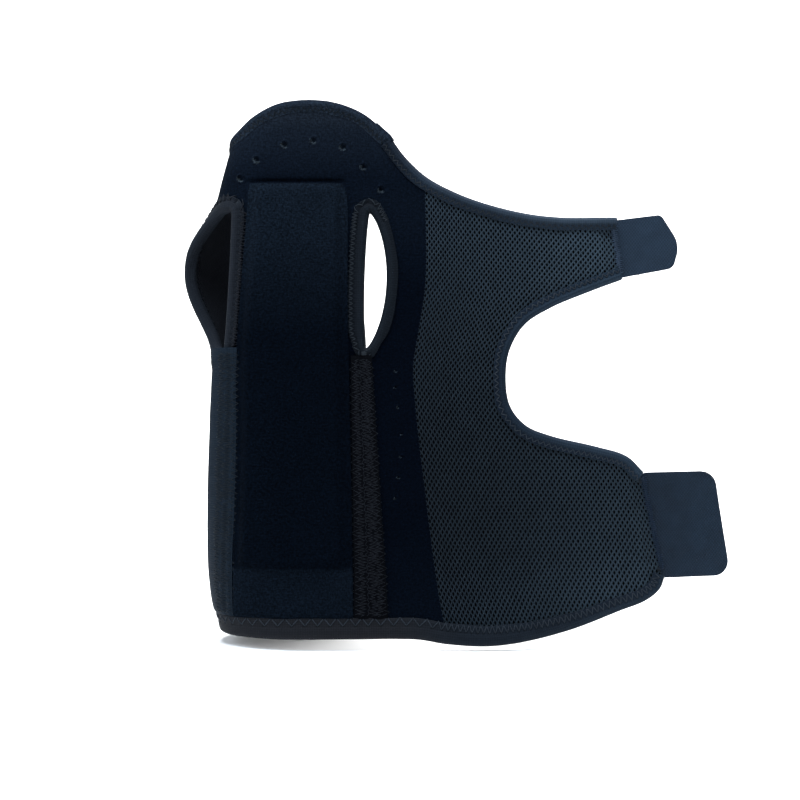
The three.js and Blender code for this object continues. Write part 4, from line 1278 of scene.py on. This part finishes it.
def roll_thread(bm, place, level, side=1, radius=THREAD):
    """Adds a thread that passes through flat places at some levels, rolled from a grid, with pointed ends."""
    u, v = place.T
    line = wrap(u, v, side * level)
    out = wrap(u, v, side * (level + THREAD)) - line
    travel = np.gradient(line, axis=0)
    beside = np.cross(travel, out)
    beside /= np.linalg.norm(beside, axis=1, keepdims=True)
    up = np.cross(beside, travel)
    up /= np.linalg.norm(up, axis=1, keepdims=True)
    thick = np.full(len(line), radius * MM)
    thick[[0, -1]] = 0
    made = bmesh.ops.create_grid(bm, x_segments=len(line) - 1, y_segments=THREAD_SIDES, size=0.5)["verts"]
    grid = np.array([vert.co[:2] for vert in made]) + 0.5
    k = np.rint(grid[:, 0] * (len(line) - 1)).astype(int)
    turn = 2 * math.pi * grid[:, 1]
    put(made, line[k] + thick[k, None] * (np.cos(turn)[:, None] * up[k] - np.sin(turn)[:, None] * beside[k]))


def legs_between(marks, ends):
    """Points on the legs between needle holes, with an arch that is 0 at each hole and 1 half way."""
    t = np.linspace(0, 1, LEG_POINTS)[:-1]
    points = ((start[:-1, None] + np.diff(start)[:, None] * t).ravel() for start in (marks, ends))
    return *points, np.tile(np.sin(math.pi * t), len(marks) - 1)


def sew(name, bm, finish):
    """Closes the rolled threads and makes them one piece."""
    bmesh.ops.remove_doubles(bm, verts=bm.verts, dist=THREAD_MERGE * MM)
    bmesh.ops.recalc_face_normals(bm, faces=bm.faces)
    mark_pattern(bm, places_of(bm)[:, [0, 2]] / MM)
    make_piece(name, bm, [finish])


# %% Zigzag rows on the bindings
ZIGZAG_THREAD, ZIGZAG_SUNK, ZIGZAG_ARCH = 0.24, 0.3, 0.42
for name, edge in BINDINGS.items():
    run, (near, far) = edge["run"], edge["ends"]
    marks = np.interp(np.arange(0, run["count"][-1] + 0.01, 0.5), run["count"], run["at"])
    needles = np.where(np.arange(len(marks)) % 2, far, near)
    sewn = edge.get("sewn", all_round)(on_run(run, marks, 0))
    bm = bmesh.new()
    for row in np.split(np.arange(len(marks)), np.flatnonzero(np.diff(sewn)) + 1):
        if not sewn[row[0]] or len(row) < 3:
            continue
        at, from_lip, arch = legs_between(marks[row], needles[row])
        lip = edge["lip"](on_run(run, at, 0))
        place = on_run(run, at, lip + from_lip)
        level = lip_level(lip + from_lip, lip, edge.get("height", LIP_HEIGHT))
        for side in (1, -1):
            roll_thread(bm, place, level - ZIGZAG_SUNK + ZIGZAG_ARCH * arch, side, ZIGZAG_THREAD)
    sew(name.replace("binding", "stitches"), bm, edge["thread"])

# %% Rows on the seam tapes
SEAM_ROWS = {  # from and to share across the tape, stitch period, looseness
    "thumb_side_seam_tape": [(-0.06, 0.12, 3.0, 0.03), (0.1, 0.36, 1.7, 0.1), (0.34, 0.6, 1.7, 0.1)],
    "spare_side_seam_tape": [
        (-0.07, 0.24, 3.9, 0.05), (0.14, 0.38, 1.35, 0.12), (0.4, 0.47, 2.6, 0.04), (0.46, 0.72, 1.35, 0.12),
        (0.66, 0.88, 1.35, 0.12), (0.8, 1.04, 3.4, 0.05),
    ],
}
SEAM_THREAD, SEAM_SUNK, SEAM_ARCH, SEAM_START, SEAM_STOP = 0.17, 0.12, 0.3, 2.5, 1.5
dice = np.random.default_rng(7)


def beside_tape(u, v):
    """The level that stitches beside a tape lie on: the panel's face, or the pocket where that runs on."""
    left, right = smooth_table(POCKET_SIDES, -v).T
    on_pocket = ease(u, left - 0.3, left + 0.1) * (1 - ease(u, right - 0.1, right + 0.3))
    return FACE + (POCKET_BASE + POCKET_CLOTH - FACE) * on_pocket


for name, rows in SEAM_ROWS.items():
    tape, bm = SEAM_TAPES[name], bmesh.new()
    height = tape["guide"][-1][1] - SEWN_FOOT
    for start, end, period, loose in rows:
        marks = np.arange(SEAM_START, height - SEAM_STOP, period / 2)
        marks = marks + dice.uniform(-2, 2, len(marks)) * loose
        ends = np.where(np.arange(len(marks)) % 2, end, start) + dice.uniform(-0.6, 0.6, len(marks)) * loose
        up, share, arch = legs_between(marks / height, ends)
        place = tape_place(tape, share, up)
        on_tape = ease(share, -0.02, 0.04) * (1 - ease(share, 0.96, 1.02))
        beside = beside_tape(*place.T)
        above = tape_level(tape, share, place[:, 1]) - SEAM_SUNK - beside
        roll_thread(bm, place, beside + above * on_tape + SEAM_ARCH * arch, radius=SEAM_THREAD)
    sew(name.replace("tape", "stitches"), bm, tape["thread"])

# %% Satin columns where the straps meet their tabs
SATIN_PITCH, SATIN_OUT, SATIN_IN, SATIN_LOOSE, SATIN_ABOVE, SATIN_ARCH = 0.45, 3.2, -1.0, 0.4, 0.1, 0.15
SATIN_START, SATIN_STOP, STRAP_STEP = 2.2, 2, (0.1, 1.6)
for name, (top, foot) in STRAP_ENDS.items():
    top, foot = np.array(top), np.array(foot)
    length = np.linalg.norm(foot - top)
    along = (foot - top) / length
    outwards = np.array([-along[1], along[0]])
    bm = bmesh.new()
    marks = np.arange(SATIN_START, length - SATIN_STOP, SATIN_PITCH)
    ends = np.where(np.arange(len(marks)) % 2, SATIN_OUT, SATIN_IN)
    ends = ends + dice.uniform(-SATIN_LOOSE, SATIN_LOOSE, len(marks))
    at, reach, arch = legs_between(marks, ends)
    place = top + along * at[:, None] + outwards * reach[:, None]
    step = STRAP_PRESSED + (TAB_FRONT - STRAP_PRESSED) * ease(reach, *STRAP_STEP)
    roll_thread(bm, place, step + SATIN_ABOVE + SATIN_ARCH * arch)
    sew(name + "_satin", bm, satin_thread)

# %% Bar tacks
BAR_TACKS = {  # middle, direction, level
    "spare_foot": ((20.4, 21.4), (1, 0), 2.9),
    "upper_strap_top": ((135.6, 80.6), (0.2, -1), -0.7), "upper_strap_foot": ((140, 60.4), (0.2, -1), -0.7),
    "lower_strap_top": ((150.6, -38.4), (0.2, -1), -0.7), "lower_strap_foot": ((159.4, -80), (0.2, -1), -0.7),
}
TACK_STITCHES, TACK_HALF_WIDTH, TACK_HALF_LENGTH, TACK_ARCH = 10, 0.8, 1.3, 0.3
bm = bmesh.new()
for tack_middle, along, level in BAR_TACKS.values():
    along = np.array(along) / np.linalg.norm(along)
    beside = np.array([-along[1], along[0]])
    marks = np.linspace(-TACK_HALF_WIDTH, TACK_HALF_WIDTH, TACK_STITCHES)
    ends = np.where(np.arange(TACK_STITCHES) % 2, TACK_HALF_LENGTH, -TACK_HALF_LENGTH)
    at, reach, arch = legs_between(marks, ends)
    place = np.array(tack_middle) + beside * at[:, None] + along * reach[:, None]
    roll_thread(bm, place, level + TACK_ARCH * arch)
sew("bar_tacks", bm, mid_thread)
